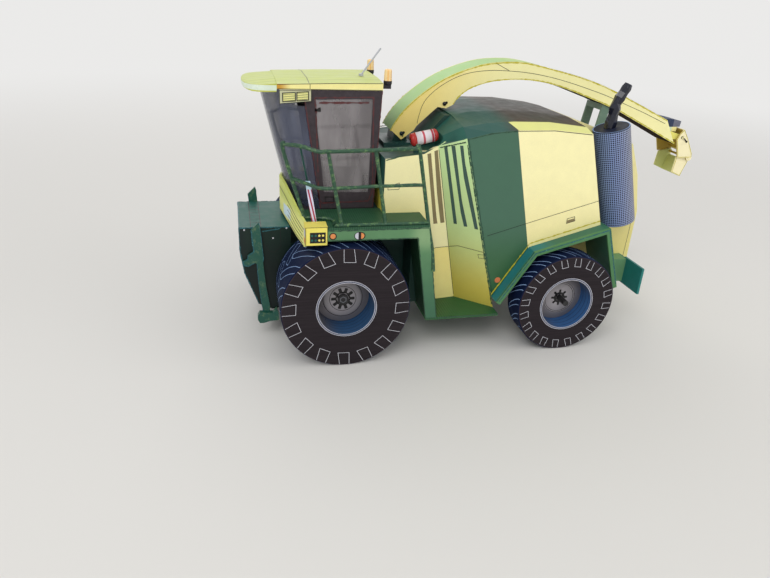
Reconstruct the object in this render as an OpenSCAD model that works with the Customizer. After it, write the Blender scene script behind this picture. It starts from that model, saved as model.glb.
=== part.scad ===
// Forage harvester, folded card scale model, about 1:32, millimetres.
// +X forward, +Y the left side with the ladder step, +Z up, ground at z = 0.
// Lengths along x are measured from the front axle and shifted once, at the end.

/* [Card and running clearance] */
// Thickness of a folded sheet
card = 1.2; // [1.0:0.1:1.4]
// Free play around an axle or pin
play = 0.05; // [0.03:0.01:0.08]
// Rest gap between pieces that move on each other
rest_gap = 0.3; // [0.25:0.05:0.4]

/* [Wheels and axles] */
// Front axle to rear axle
wheelbase = 111; // [110.5:0.5:111.5]
// Outer face of every tyre from the middle
tyre_face = 55; // [54.5:0.5:56]
// Front tyre radius
front_r = 30; // [29.6:0.1:30.2]
// Front tyre width
front_w = 30; // [28:0.5:30]
// Rear tyre radius
rear_r = 25.5; // [25:0.1:25.6]
// Rear tyre width
rear_w = 14; // [12:0.5:14]
// Radius of the rim opening
rim_r = 14.1; // [13.8:0.1:14.4]
// Sheet thickness of a rim barrel
rim_wall = 0.9; // [0.7:0.1:1.1]
// Depth of the front hub plate behind the tyre face
front_dish = 11; // [10:0.5:12]
// Depth of the rear hub plate behind the tyre face
rear_dish = 8; // [7.5:0.25:8.5]
// Thickness of a hub plate
hub_plate = 1.4; // [1.2:0.1:1.6]
// Radius of the wheel journals
journal_r = 1.5; // [1.4:0.05:1.6]
// Radius of the front axle tube between the wheels
tube_r = 3; // [2.8:0.1:3.2]

/* [Rear steering] */
// Kingpin distance from the middle
kingpin_y = 37.5; // [37:0.25:37.75]
// Radius of a kingpin
kingpin_r = 1.4; // [1.3:0.05:1.5]
// Length of a steering arm, kingpin to tie rod
arm_len = 8; // [7.5:0.25:8.5]
// Radius of the tie rod end pins
tie_pin_r = 0.8; // [0.7:0.05:0.9]

/* [Chassis] */
// Half width of the frame box
frame_half = 17; // [16.5:0.25:17.5]
// Underside of the frame box at the front
frame_low = 18; // [17.5:0.25:18.5]
// Top of the frame box
frame_top = 48; // [47:0.5:49]
// Underside of the frame box over the rear axle
frame_arch = 34; // [33.5:0.25:34.5]

/* [Cab] */
// Outer half width of the cab
cab_half = 24.3; // [24:0.1:24.6]
// Top face of the deck and the cab floor
deck_top = 67.8; // [67.5:0.1:68.2]
// Underside of the roof
roof_low = 122.2; // [122:0.1:122.5]
// Thickness of the clear foil
foil = 0.7; // [0.6:0.05:0.8]
// Radius of the railing tubes
rail_r = 0.8; // [0.7:0.05:0.9]

/* [Body] */
// Half width of the deck, fenders and steps
deck_half = 50; // [49.5:0.25:50.5]
// Half width of the bonnet sides
hood_half = 43; // [42.5:0.25:43.5]
// Half width of the rear body between the exhaust corners
tail_half = 23; // [22.5:0.25:23]
// Half width of the housing behind the cab
house_half = 32; // [31.5:0.25:32]
// Top face of the side steps
step_top = 20; // [19.5:0.25:20.5]

/* [Spout] */
// Outer half width of the spout
spout_half = 9; // [8.6:0.1:9.2]
// Radius of the spout foot pin
foot_pin_r = 1; // [0.9:0.05:1.1]
// Radius of the flap wires
wire_r = 0.6; // [0.5:0.05:0.7]
// Thickness of a flap side
flap_wall = 0.9; // [0.8:0.05:1.0]

/* [Hidden] */
// Front end of the intake from the front axle
front_end = 46.5;
// Wheel centres
rear_x = -wheelbase;
front_y = tyre_face - front_w / 2;
rear_y = tyre_face - rear_w / 2;
front_plate_y = tyre_face - front_dish;
rear_plate_y = tyre_face - rear_dish;
tyre_chamfer = 0.5;
// Fender top line over the rear wheel, x and z
arch_line = [[rear_x + 35.4, 26], [rear_x + 19, rear_r + 26.6], [rear_x - 19.5, rear_r + 37.5],
             [rear_x - 29.8, 31]];
function arch_z(x) = lookup(x, [arch_line[2], arch_line[1]]);
arch_lip = 2.4;
// Bonnet stations: x, side top z, middle top z
hood_rows = [[-54.4, 104.8, 111], [-66, 107.6, 112.4], [-78.4, 108.7, 112.9],
             [rear_x + 15, 108.9, 112.6], [rear_x - 4.6, 107.1, 110.2]];
hood_shoulder = 7;
hood_back = [[rear_x - 4.6, 107.1], [rear_x - 17.8, arch_z(rear_x - 17.8)]];
// Rear body outline, x and z, from the bonnet backwards and down
tail_seam = rear_x - 13;
tail_line = [[rear_x - 4.6, 109.8], [rear_x - 16, 106.6], [rear_x - 29, 102.4], [rear_x - 40, 98],
             [rear_x - 46.5, 82], [rear_x - 51, 62], [rear_x - 51, frame_arch],
             [tail_seam, frame_arch], [tail_seam, arch_z(tail_seam)], hood_back[1], hood_back[0]];
// Vent panel corners: x, y and z at the top, x and y at the bottom
step_back = rear_x + 33.8;
vent_crest = 110.4;
vent_top = [[-38.6, 32, 95.6], [-44.8, 32, 99.2], [-54.4, hood_half, 104.8], [-54.4, 36, 109],
            [-54.4, frame_half, vent_crest], [-38.6, frame_half, 95.6]];
vent_low = [[-50, 30], [-61, 28.5], [step_back, hood_half], [step_back, 36],
            [step_back, frame_half], [-50, frame_half]];
// Apron curve: y, outer x, low z, top z
apron_rows = [[0, 25.6, 60.4, 78], [10, 24.1, 59.6, 76.6], [20, 22.2, 58.3, 73.6],
              [31, 20.3, 57, 70.6], [40, 18.6, 56.6, 68.8], [43, 18.1, 56.6, 68.4]];
// Cab glass corners
glass_low_x = 8.2;
glass_low_mid = 21.6;
glass_top_x = 15.8;
glass_top_mid = 34.6;
// Points between those of a line, on a smooth curve through them
function curve(a, b, c, d, t) = (2 * b + (c - a) * t + (2 * a - 5 * b + 4 * c - d) * t * t
  + (3 * b - a - 3 * c + d) * t * t * t) / 2;
function smooth(p, n) = let (m = len(p) - 1) concat([for (i = [0:m - 1]) for (k = [0:n - 1])
  curve(p[max(i - 1, 0)], p[i], p[i + 1], p[min(i + 2, m)], k / n)], [p[m]]);
// Spout outline from the foot over the top to the tip and back below, x and z
spout_top = smooth([[-28.4, 103.6], [-31.6, 108.6], [-35.6, 113.2], [-40.1, 117.3],
                    [-48.6, 123.6], [-57.9, 128.4], [-69.6, 132.4], [-79, 134], [-89.8, 134.4],
                    [-98, 133.5], [-106.1, 131.9], [-118, 129.4], [-130, 126.4], [-147, 120.5],
                    [-178, 107.4]], 2);
spout_under = smooth([[-185.4, 94.8], [-149.5, 111.2], [-127.6, 118.9], [-117, 122.2],
                      [-105.8, 124.9], [-97, 126], [-88.5, 126.2], [-78.3, 125.3],
                      [-70.7, 123.5], [-64.7, 120.9], [-60.1, 117.3], [-57.9, 114]], 2);
spout_line = concat([[-33, 97.2], [-27.6, 101.8]], spout_top, spout_under,
                    [[-54.5, 112.3], [-50.2, 112.9], [-40.3, 103.8], [-39.1, 101.8]]);
foot_pin = [-33, 100.2];
flap_pin = [-189.2, 98.4];
tip_pin = [-196.4, 87.2];
pin_boss = 1.6;
rear_end = tip_pin[0] - pin_boss;
origin_x = -(front_end + rear_end) / 2;
// Exhaust shield ends and radius
shield_low = [rear_x - 34, 60.7];
shield_top = [rear_x - 20.4, 108.1];
shield_r = 8.8;
shield_y = tail_half + shield_r - 0.3;

// Mirrored copy for the right side
module flip(s) { if (s > 0) children(); else mirror([0, 1, 0]) children(); }

// Piece shifted so that the origin is the middle of the whole, mirrored for the right
module put(s = 1) { translate([origin_x, 0, 0]) flip(s) children(); }

// Plate in the xz plane between two y values
module plate(y0, y1, pts) {
  translate([0, y1, 0]) rotate([90, 0, 0]) linear_extrude(y1 - y0) polygon(pts);
}

// Box from one corner to the other
module box(a, b) { translate(a) cube(b - a); }

// Solid through matching sections
module loft(s) {
  n = len(s[0]);
  m = len(s);
  polyhedron(points = [for (a = s) for (p = a) p],
    faces = concat([for (i = [0:n - 3]) [n - 1, i, i + 1]],
      [for (i = [0:n - 3]) [m * n - 1, (m - 1) * n + i + 1, (m - 1) * n + i]],
      [for (j = [0:m - 2]) for (i = [0:n - 1]) let (k = (i + 1) % n)
        [j * n + i, (j + 1) * n + i, (j + 1) * n + k]],
      [for (j = [0:m - 2]) for (i = [0:n - 1]) let (k = (i + 1) % n)
        [j * n + i, (j + 1) * n + k, j * n + k]]));
}

// Straight bar of six sides from a to b
module bar(a, b, r) {
  d = b - a;
  h = norm(d);
  translate(a) rotate([0, acos(d[2] / h), atan2(d[1], d[0])]) cylinder(h = h, r = r, $fn = 6);
}

// Bars along a list of points, each run on past its ends to meet the next
module tube(pts, r) {
  for (i = [0:len(pts) - 2]) let (u = (pts[i + 1] - pts[i]) / norm(pts[i + 1] - pts[i]))
    bar(pts[i] - u * r * 0.5, pts[i + 1] + u * r * 0.5, r);
}

// Ring turned about the y axis, profile as radius and y
module turned(x, y, z, prof, fn = 96) {
  translate([x, y, z]) rotate([-90, 0, 0]) rotate_extrude($fn = fn) polygon(prof);
}

// Rod along y
module rod_y(x, z, y0, y1, r, fn = 32) {
  translate([x, y0, z]) rotate([-90, 0, 0]) cylinder(h = y1 - y0, r = r, $fn = fn);
}

// Band below a line of points, by a shift down along the normal
function norm2(a, b) = let (d = b - a) [d[1], -d[0]] / norm(d);
function inset(p, t) = [for (i = [0:len(p) - 1])
  let (a = i == 0 ? norm2(p[0], p[1]) : norm2(p[i - 1], p[i]),
       b = i == len(p) - 1 ? a : norm2(p[i], p[i + 1]),
       m = (a + b) / norm(a + b))
  p[i] - m * t / (m * a)];
function back(p) = [for (i = [len(p) - 1:-1:0]) p[i]];

module tyre(x, r, w, yc, s) {
  put(s) color([0.16, 0.15, 0.16]) turned(x, yc, r, [[rim_r + play, -w / 2],
    [r - tyre_chamfer, -w / 2], [r, -w / 2 + tyre_chamfer], [r, w / 2 - tyre_chamfer],
    [r - tyre_chamfer, w / 2], [rim_r + play, w / 2]], 120);
}
module front_tyre_left() { tyre(0, front_r, front_w, front_y, 1); }
module front_tyre_right() { tyre(0, front_r, front_w, front_y, -1); }
module rear_tyre_left() { tyre(-wheelbase, rear_r, rear_w, rear_y, 1); }
module rear_tyre_right() { tyre(-wheelbase, rear_r, rear_w, rear_y, -1); }

// Rim barrel with a dished hub plate and a bearing sleeve
module rim(x, z, w, yc, plate_y, sleeve_y, s) {
  p = plate_y - yc;
  q = sleeve_y - yc;
  put(s) color([0.75, 0.76, 0.78]) turned(x, yc, z, [[journal_r + play, q], [4, q],
    [4, p - hub_plate], [rim_r * 0.62, p - hub_plate], [rim_r - rim_wall, p - hub_plate - 2],
    [rim_r - rim_wall, -w / 2], [rim_r, -w / 2], [rim_r, w / 2], [rim_r - rim_wall, w / 2],
    [rim_r - rim_wall, p - 2], [rim_r * 0.62, p], [journal_r + play, p]], 72);
}
front_sleeve = front_y - 8;
web_y = kingpin_y + 3.4;
rear_sleeve = web_y + card + rest_gap;
module front_rim_left() { rim(0, front_r, front_w, front_y, front_plate_y, front_sleeve, 1); }
module front_rim_right() { rim(0, front_r, front_w, front_y, front_plate_y, front_sleeve, -1); }
module rear_rim_left() {
  rim(-wheelbase, rear_r, rear_w, rear_y, rear_plate_y, rear_sleeve, 1);
}
module rear_rim_right() {
  rim(-wheelbase, rear_r, rear_w, rear_y, rear_plate_y, rear_sleeve, -1);
}

cap_len = 1;
module front_axle() {
  a = front_sleeve - rest_gap;
  b = front_plate_y + rest_gap;
  put() color([0.12, 0.12, 0.13]) turned(0, 0, front_r, [[0, -b - cap_len], [2.6, -b - cap_len],
    [2.6, -b], [journal_r, -b], [journal_r, -a], [tube_r, -a], [tube_r, a], [journal_r, a],
    [journal_r, b], [2.6, b], [2.6, b + cap_len], [0, b + cap_len]], 48);
}

beam_low = rear_r - 3;
beam_top = rear_r + 3;
lug_gap = 4.4;
lug_t = 1.5;
module rear_axle() {
  put() color([0.10, 0.12, 0.12]) union() {
    box([-wheelbase - 3, -kingpin_y, beam_low], [-wheelbase + 3, kingpin_y, beam_top]);
    box([-wheelbase - 7, -8, beam_top - 0.5], [-wheelbase + 7, 8, frame_arch]);
    for (s = [-1, 1]) translate([-wheelbase, s * kingpin_y, 0]) {
      translate([0, 0, rear_r - lug_gap + rest_gap])
        cylinder(h = 2 * (lug_gap - rest_gap), r = 3, $fn = 40);
      translate([0, 0, rear_r - lug_gap - lug_t]) cylinder(h = 2 * (lug_gap + lug_t),
        r = kingpin_r, $fn = 32);
    }
  }
}

module knuckle(s) {
  put(s) color([0.13, 0.13, 0.14]) difference() {
    union() {
      for (z = [rear_r + lug_gap, rear_r - lug_gap - lug_t])
        box([-wheelbase - 3, kingpin_y - 3, z], [-wheelbase + 3, web_y + 0.5, z + lug_t]);
      box([-wheelbase - 3, web_y, rear_r - lug_gap - lug_t],
          [-wheelbase + 3, web_y + card, rear_r + lug_gap + lug_t]);
      box([-wheelbase - arm_len - 1.8, kingpin_y - 2, rear_r - lug_gap - lug_t],
          [-wheelbase - 2, kingpin_y + 1.8, rear_r - lug_gap]);
      rod_y(-wheelbase, rear_r, web_y, rear_plate_y + 7.2, journal_r, 40);
    }
    for (p = [[-wheelbase, kingpin_r], [-wheelbase - arm_len, tie_pin_r]])
      translate([p[0], kingpin_y, rear_r - 10]) cylinder(h = 20, r = p[1] + play, $fn = 32);
  }
}
module knuckle_left() { knuckle(1); }
module knuckle_right() { knuckle(-1); }

tie_top = rear_r - lug_gap - lug_t - rest_gap;
module tie_rod() {
  put() color([0.13, 0.13, 0.14]) union() {
    box([-wheelbase - arm_len - 1.2, -kingpin_y - 1.6, tie_top - 1.5],
        [-wheelbase - arm_len + 1.2, kingpin_y + 1.6, tie_top]);
    for (s = [-1, 1]) translate([-wheelbase - arm_len, s * kingpin_y, tie_top - 1])
      cylinder(h = 1 + rest_gap + lug_t, r = tie_pin_r, $fn = 32);
  }
}

block_front = 18;
frame_back = rear_x - 44;
block_top = deck_top - card;
module chassis() {
  put() color([0.07, 0.22, 0.19]) difference() {
    union() {
      plate(-frame_half, frame_half, [[22, frame_low], [22, frame_top], [frame_back, frame_top],
        [frame_back, frame_arch], [rear_x + 27, frame_arch], [rear_x + 27, frame_low]]);
      box([-33, -cab_half + 0.8, frame_top - 0.5], [block_front, cab_half - 0.8, block_top]);
    }
    rod_y(0, front_r, -frame_half - 1, frame_half + 1, tube_r + play, 48);
  }
}

intake_back = 22;
mouth_half = 15;
module intake_housing() {
  put() color([0.07, 0.27, 0.23]) difference() {
    plate(-20, 20, [[intake_back, 57.2], [22.6, 58.2], [front_end, 58.2], [front_end, 46.2],
      [44.8, 34.8], [38.6, 17.7], [31.6, 14.4], [intake_back, 16]]);
    plate(-mouth_half, mouth_half, [[28, 52], [50, 52], [50, 22], [28, 22]]);
  }
}

// Upright header carrier posts with a bent arm and a hook, tied by a bar below
module header_post(s, up) {
  flip(s) {
    plate(20, 21.4, [[37.3, 60.8 + up], [40.7, 57.4 + up], [40.4, 53.4 + up], [39.8, 46.2],
      [42.7, 44.3], [43, 42.2], [45.2, 41.2], [44.8, 39.4], [42.9, 38.8], [39.5, 40.5],
      [38.6, 39.9], [38.1, 28.6], [37, 17.5], [36.2, 12], [32.9, 12], [33.1, 17.3],
      [34.7, 28.4], [35.7, 40.8], [35.4, 42.9], [35.9, 49.7 + up], [36.6, 59.3 + up]]);
    plate(20, 23, [[39.2, 12.3], [39.3, 10], [38.4, 8.2], [36.4, 8.1], [33.4, 9], [28.9, 9.3],
      [28.8, 12.7], [29.7, 15.6], [31.8, 13.5], [38.2, 13.9]]);
  }
}
module header_frame() {
  put() color([0.08, 0.28, 0.23]) union() {
    header_post(1, 0);
    header_post(-1, 5);
    box([33.6, -20.5, 9.2], [36.2, 20.5, 12.2]);
  }
}

// Front fender: face band, rear leg and the sheet behind the wheel
leg_front = [[-33.1, 61.4], [-39.8, step_top]];
leg_back = [[-38.2, block_top], [-45.2, step_top]];
module front_fender(s) {
  put(s) color([0.30, 0.50, 0.30]) union() {
    plate(deck_half - card, deck_half, [[8.4, block_top], [8.4, 61.4], leg_front[0], leg_front[1],
      leg_back[1], leg_back[0]]);
    plate(house_half, deck_half, [[leg_front[0][0], block_top], leg_front[0], leg_front[1],
      leg_front[1] - [card, 0], leg_front[0] - [card, 0], [leg_front[0][0] - card, block_top]]);
  }
}
module front_fender_left() { front_fender(1); }
module front_fender_right() { front_fender(-1); }

apron_in = [for (r = apron_rows) [r[1] - card, r[0]]];
floor_corner = [lookup(cab_half, [for (p = apron_in) [p[1], p[0]]]), cab_half];
module deck(s) {
  put(s) color([0.27, 0.45, 0.28]) translate([0, 0, block_top]) linear_extrude(card) polygon([
    floor_corner, apron_in[3], apron_in[4], apron_in[5], [8.4, apron_in[5][1]],
    [8.4, deck_half], [-38.2, deck_half], [-38.2, house_half], [-20.2, house_half],
    [-20.2, cab_half]]);
}
module deck_left() { deck(1); }
module deck_right() { deck(-1); }

rail_y = deck_half - rail_r - 0.2;
rail_base = deck_top + rail_r;
module railing(s) {
  top = [[-30.6, rail_y, 102.2], [-12, rail_y, 101.6], [12.2, rail_y, 101], [19.6, 45, 102.6],
         [26.6, 37, 101.4]];
  loop = [[26.6, 37, 101.4], [22.6, 37, 86.6], [17.2, 37, rail_base]];
  mid = [[-33.6, rail_y, 86.1], [-12.6, rail_y, 85.9], [9, rail_y, 85.2], [16, 45, 86],
         [22.6, 37, 86.6]];
  low = [[-38, rail_y, rail_base], [5.4, rail_y, rail_base], [5.4, 41, rail_base],
         [17.2, 37, rail_base]];
  put(s) color([0.09, 0.26, 0.18]) union() {
    tube(top, rail_r);
    tube(loop, rail_r);
    tube(mid, rail_r * 0.9);
    tube([low[0], low[1]], rail_r);
    tube([low[1], low[2], low[3]], rail_r);
    bar([8.4, rail_y, 101.1], [2, rail_y, rail_base - 0.4], rail_r);
    bar([-12, rail_y, 101.6], [-17.6, rail_y, rail_base - 0.4], rail_r);
    tube([[-30.6, rail_y, 102.2], [-39.2, rail_y, rail_base - 0.3], [-43.2, rail_y, 55.5],
          [-45, rail_y, 43.3]], rail_r);
  }
}
module railing_left() { railing(1); }
module railing_right() { railing(-1); }

// Curved apron below the windscreen
module apron() {
  rows = concat([for (i = [len(apron_rows) - 1:-1:1]) [-apron_rows[i][0], apron_rows[i][1],
    apron_rows[i][2], apron_rows[i][3]]], apron_rows);
  put() color([0.90, 0.88, 0.45]) loft([for (r = rows) [[r[1] - card, r[0], r[2]],
    [r[1] - card, r[0], r[3]], [r[1], r[0], r[3]], [r[1], r[0], r[2]]]]);
}

module lamp_box(s) {
  put(s) color([0.93, 0.88, 0.35]) box([8.4, 43, 59.8], [18.1, deck_half + 0.6, 68.4]);
}
module lamp_box_left() { lamp_box(1); }
module lamp_box_right() { lamp_box(-1); }

// Cab: two door frames, back wall and floor
cab_back = -19.4;
door_out = [[glass_low_x, deck_top], [16, roof_low], [cab_back, roof_low], [-16.6, deck_top]];
door_cut = [[6.6, 76.1], [11.1, 118], [-15.1, 118.6], [-14.4, 75.7]];
module cab_frame() {
  put() color([0.24, 0.21, 0.22]) union() {
    for (s = [-1, 1]) flip(s) difference() {
      plate(cab_half - card, cab_half, door_out);
      plate(cab_half - card - 1, cab_half + 1, door_cut);
    }
    plate(-cab_half, cab_half, [[cab_back, roof_low], [cab_back + card, roof_low], [-15.4, deck_top],
      [-16.6, deck_top]]);
    translate([0, 0, block_top]) linear_extrude(card) polygon(concat([[-16.6, -cab_half]],
      [[-16.6, cab_half], floor_corner], [for (i = [2:-1:0]) apron_in[i]],
      [for (i = [1:2]) [apron_in[i][0], -apron_in[i][1]]], [[floor_corner[0], -cab_half]]));
  }
}

// Clear foil bent round the front of the cab
function arc_x(e, m, u) = e + (m - e) * (1 - u * u) / (1 - 0.22 * u * u);
module cab_glass() {
  n = 16;
  half = cab_half - 0.2;
  put() color([0.80, 0.86, 0.88, 0.35]) difference() {
    loft([for (i = [0:n]) let (u = -1 + 2 * i / n, y = half * u, xl = arc_x(glass_low_x + 0.5,
      glass_low_mid, u), xt = arc_x(glass_top_x + 0.7, glass_top_mid, u))
      [[xl - foil, y * 0.985, deck_top], [xt - foil, y * 0.985, roof_low],
       [xt, y, roof_low], [xl, y, deck_top]]]);
    for (s = [-1, 1]) flip(s) box([12, 21, 115], [27, 30, 125]);
    for (s = [-1, 1]) flip(s) plate(cab_half - card - 0.02, cab_half + 1, door_out);
  }
}

module door_glass(s) {
  put(s) color([0.78, 0.84, 0.86, 0.35]) plate(cab_half - card / 2 - foil / 2,
    cab_half - card / 2 + foil / 2, door_cut);
}
module door_glass_left() { door_glass(1); }
module door_glass_right() { door_glass(-1); }

// Roof with a drooping visor rounded in plan
module roof() {
  rows = [[cab_back, 24.6, roof_low, 125.4, 126.3], [2, 24.6, roof_low, 125.1, 126],
          [27.2, 24.6, roof_low, 124.3, 125.2], [27.3, 21.8, 120.6, 124.1, 125],
          [32, 21.7, 120.5, 123.7, 124.6], [35.2, 21.2, 120.5, 123.5, 124.3],
          [37.6, 19.4, 120.5, 123.4, 124.1], [39.4, 16.4, 120.7, 123.4, 123.9],
          [40.8, 12.4, 121, 123.3, 123.6], [41.5, 7.5, 121.3, 123.2, 123.4],
          [41.8, 3, 121.5, 123.1, 123.3]];
  put() color([0.83, 0.85, 0.45]) difference() {
    loft([for (r = rows) [[r[0], -r[1], r[2]], [r[0], r[1], r[2]], [r[0], r[1], r[3]],
      [r[0], r[1] * 0.5, r[4]], [r[0], -r[1] * 0.5, r[4]], [r[0], -r[1], r[3]]]]);
    box([27.25, -20, 110], [36, 20, roof_low]);
  }
}
module air_grille(s) {
  put(s) color([0.93, 0.91, 0.62]) plate(cab_half, cab_half + card, [[12.6, 117.5],
    [26.2, 116.3], [26.2, roof_low], [12.6, roof_low]]);
}
module air_grille_left() { air_grille(1); }
module air_grille_right() { air_grille(-1); }

module antenna() {
  put() color([0.75, 0.75, 0.78]) union() {
    translate([-12.4, 8, 126.36]) cylinder(h = 1, r = 1.1, $fn = 24);
    bar([-12.4, 8, 126.8], [-21.2, 8, 138.6], 0.4);
  }
}

beacon_x = cab_back - 3;
module beacon(s) {
  put(s) color([0.95, 0.62, 0.12]) translate([beacon_x, 20, 0]) union() {
    box([-1.4, -1.2, roof_low + 0.4], [cab_back - beacon_x, 1.2, 124.4]);
    translate([0, 0, 124.2]) cylinder(h = 2, r = 1.9, $fn = 32);
    translate([0, 0, 126]) cylinder(h = 5, r = 1.75, $fn = 32);
  }
}
module beacon_left() { beacon(1); }
module beacon_right() { beacon(-1); }

module warning_board(s) {
  put(s) color([0.90, 0.88, 0.88]) union() {
    plate(41, 41.8, [[17.2, 86.4], [15, 86.4], [12.2, deck_top + 0.1], [14.4, deck_top + 0.1]]);
    bar([19.4, 44.8, 101.6], [16.1, 41.4, 85.8], 0.4);
  }
}
module warning_board_left() { warning_board(1); }
module warning_board_right() { warning_board(-1); }

// Housing behind the cab, with the sloped bed under the spout
sill_x = leg_front[0][0] - 2 * card;
house_top = 93.4;
module rear_housing() {
  put() color([0.94, 0.90, 0.62]) difference() {
    union() {
      plate(-house_half, house_half, [[-20.2, block_top], [-20.2, house_top], [vent_top[0][0],
        vent_top[0][2]], [vent_low[0][0], step_top], [sill_x, step_top], [sill_x, block_top]]);
      plate(-frame_half, frame_half, [[vent_top[0][0], vent_top[0][2]], [-51.5, vent_crest],
        [vent_top[2][0], vent_crest], [vent_top[2][0], vent_top[2][2]],
        [step_back, step_top], [vent_low[0][0], step_top]]);
    }
    box([-90, -frame_half, 0], [0, frame_half, frame_top]);
  }
}

// Angled side panel with the vent slots, as a closed wedge with a bed for the bottle
bed = [vent_top[0][0], vent_top[0][2]];
module vent_panel(s) {
  put(s) color([0.74, 0.86, 0.58]) difference() {
    loft([[for (p = vent_low) [p[0], p[1], step_top]], vent_top]);
    plate(0, 60, [[vent_top[2][0], 130], [step_back - 20, 130], [step_back - 20, step_top],
      [step_back, step_top], [vent_top[2][0], vent_top[2][2]]]);
    plate(frame_half - 1, 29.6, [bed, bed + [0, 30], bed + [-9, 30], bed + [-9, 1.8]]);
  }
}
module vent_panel_left() { vent_panel(1); }
module vent_panel_right() { vent_panel(-1); }

// Bonnet over the rear wheels
module hood() {
  side_tops = [for (r = hood_rows) [r[0], r[1]]];
  rise = 0.62;
  put() color([0.93, 0.91, 0.62]) difference() {
    union() {
      plate(-hood_half, hood_half, concat(side_tops, [hood_back[1], arch_line[1], arch_line[0]]));
      loft([for (i = [len(hood_rows) - 1:-1:0]) let (r = hood_rows[i], k = hood_half -
        hood_shoulder, h = r[1] + rise * (r[2] - r[1])) [[r[0], -hood_half, r[1] - 1.5],
        [r[0], hood_half, r[1] - 1.5], [r[0], hood_half, r[1]], [r[0], k, h],
        [r[0], frame_half, r[2]], [r[0], -frame_half, r[2]], [r[0], -k, h],
        [r[0], -hood_half, r[1]]]]);
      plate(-frame_half, frame_half, [[rear_x + 25, 47], [tail_seam, 47],
        [tail_seam, arch_z(tail_seam)], arch_line[1], [rear_x + 25, 60]]);
    }
    box([-150, -frame_half, 0], [-50, frame_half, frame_top]);
    plate(-60, 60, [[vent_top[2][0], vent_top[2][2]], [step_back, step_top], [-50, step_top],
      [-50, vent_top[2][2]]]);
  }
}

module tail_body() {
  put() color([0.92, 0.90, 0.55]) difference() {
    plate(-tail_half, tail_half, tail_line);
    box([frame_back, -frame_half, 0], [-100, frame_half, frame_top]);
  }
}

module step(s) {
  put(s) color([0.27, 0.45, 0.28]) box([step_back, frame_half, step_top - card],
    [leg_front[1][0], deck_half, step_top]);
}
module step_left() { step(1); }
module step_right() { step(-1); }

module rear_fender(s) {
  lip = concat(arch_line, back(inset(arch_line, arch_lip)));
  sheet = concat(arch_line, back(inset(arch_line, card)));
  put(s) color([0.27, 0.50, 0.33]) union() {
    plate(deck_half - card, deck_half, lip);
    plate(tail_half, deck_half, sheet);
  }
}
module rear_fender_left() { rear_fender(1); }
module rear_fender_right() { rear_fender(-1); }

module shield_form() {
  d = shield_top - shield_low;
  translate([shield_low[0], shield_y, shield_low[1]])
    rotate([0, atan2(d[0], d[1]), 0]) cylinder(h = norm(d), r = shield_r, $fn = 64);
}
module exhaust_shield() {
  put() color([0.12, 0.16, 0.30]) difference() {
    shield_form();
    box([-200, 0, 30], [-100, tail_half, 130]);
  }
}
pipe_x = shield_top[0] + 1;
module exhaust_pipe() {
  put() color([0.05, 0.05, 0.06]) difference() {
    union() {
      bar([pipe_x, shield_y, shield_top[1] - 3], [pipe_x - 1, shield_y, 119.4], 3);
      bar([pipe_x + 0.2, shield_y, 117], [pipe_x - 5.8, shield_y, 128.6], 2.6);
    }
    shield_form();
  }
}

// Bottle on a saddle that stands on the housing behind the cab
module extinguisher() {
  put() color([0.75, 0.12, 0.10]) union() {
    translate([-33, 26, 100.7]) rotate([0, -78.5, 0]) cylinder(h = 13.4, r = 3, $fn = 40);
    plate(24.6, 27.4, [[-35, house_z(-35)], [-38, house_z(-38)], [-38, 99], [-35, 98.6]]);
  }
}
function house_z(x) = lookup(x, [bed, [-20.2, house_top]]);
function tail_z(x) = lookup(x, [for (i = [4:-1:0]) tail_line[i]]);
function spout_z(x) = lookup(x, spout_under) - rest_gap;

// Bent stand on the rear body that carries the resting spout
module spout_rack() {
  low = [-137.2, -141.6];
  top = [-139, -143.3];
  put() color([0.10, 0.25, 0.20]) difference() {
    plate(-8, 8, [[low[0], tail_z(low[0])], [top[0], spout_z(top[0])], [top[1], spout_z(top[1])],
      [low[1], tail_z(low[1])], tail_line[2]]);
    box([-150, -6.8, 90], [-120, 6.8, spout_z(top[1]) - 1.2]);
  }
}

tongue_half = 6.3;
module spout_turret() {
  put() color([0.08, 0.25, 0.22]) union() {
    plate(-11, 11, [[-24, house_z(-24)], [-24, 96.2], [-38, 96.2], [-38, house_z(-38)]]);
    plate(-tongue_half, tongue_half, [[-29.4, 96], [-30, foot_pin[1]], [-36, foot_pin[1]],
      [-36.6, 96]]);
    rod_y(foot_pin[0], foot_pin[1], -tongue_half, tongue_half, 3, 40);
    rod_y(foot_pin[0], foot_pin[1], -spout_half - 0.6, spout_half + 0.6, foot_pin_r, 32);
  }
}

// Curved spout with a slot at its foot and two ears at its tip
lug_out = 8.1;
lug_in = 7.2;
module spout() {
  put() color([0.90, 0.90, 0.55]) union() {
    difference() {
      plate(-spout_half, spout_half, spout_line);
      rod_y(foot_pin[0], foot_pin[1], -tongue_half - 0.5, tongue_half + 0.5, 4.4, 48);
      rod_y(foot_pin[0], foot_pin[1], -20, 20, foot_pin_r + play, 32);
    }
    for (s = [-1, 1]) flip(s) plate(lug_in, lug_out, [[-179, 102.3], [-189, 99.6],
      [-190.3, 98.8], [-190.2, 97.8], [-189, 97.2], [-182, 97.2]]);
    rod_y(flap_pin[0], flap_pin[1], -spout_half - 1.2, spout_half + 1.2, wire_r, 24);
  }
}

module spout_lamp() {
  put() color([0.15, 0.17, 0.25]) plate(-6, 6, [[-178, 107.4], [-182.6, 107.6], [-188.9, 106.4],
    [-188.6, 103.4], [-187, 103.4], [-186.9, 100.9], [-181.7, 101.1]]);
}

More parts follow.
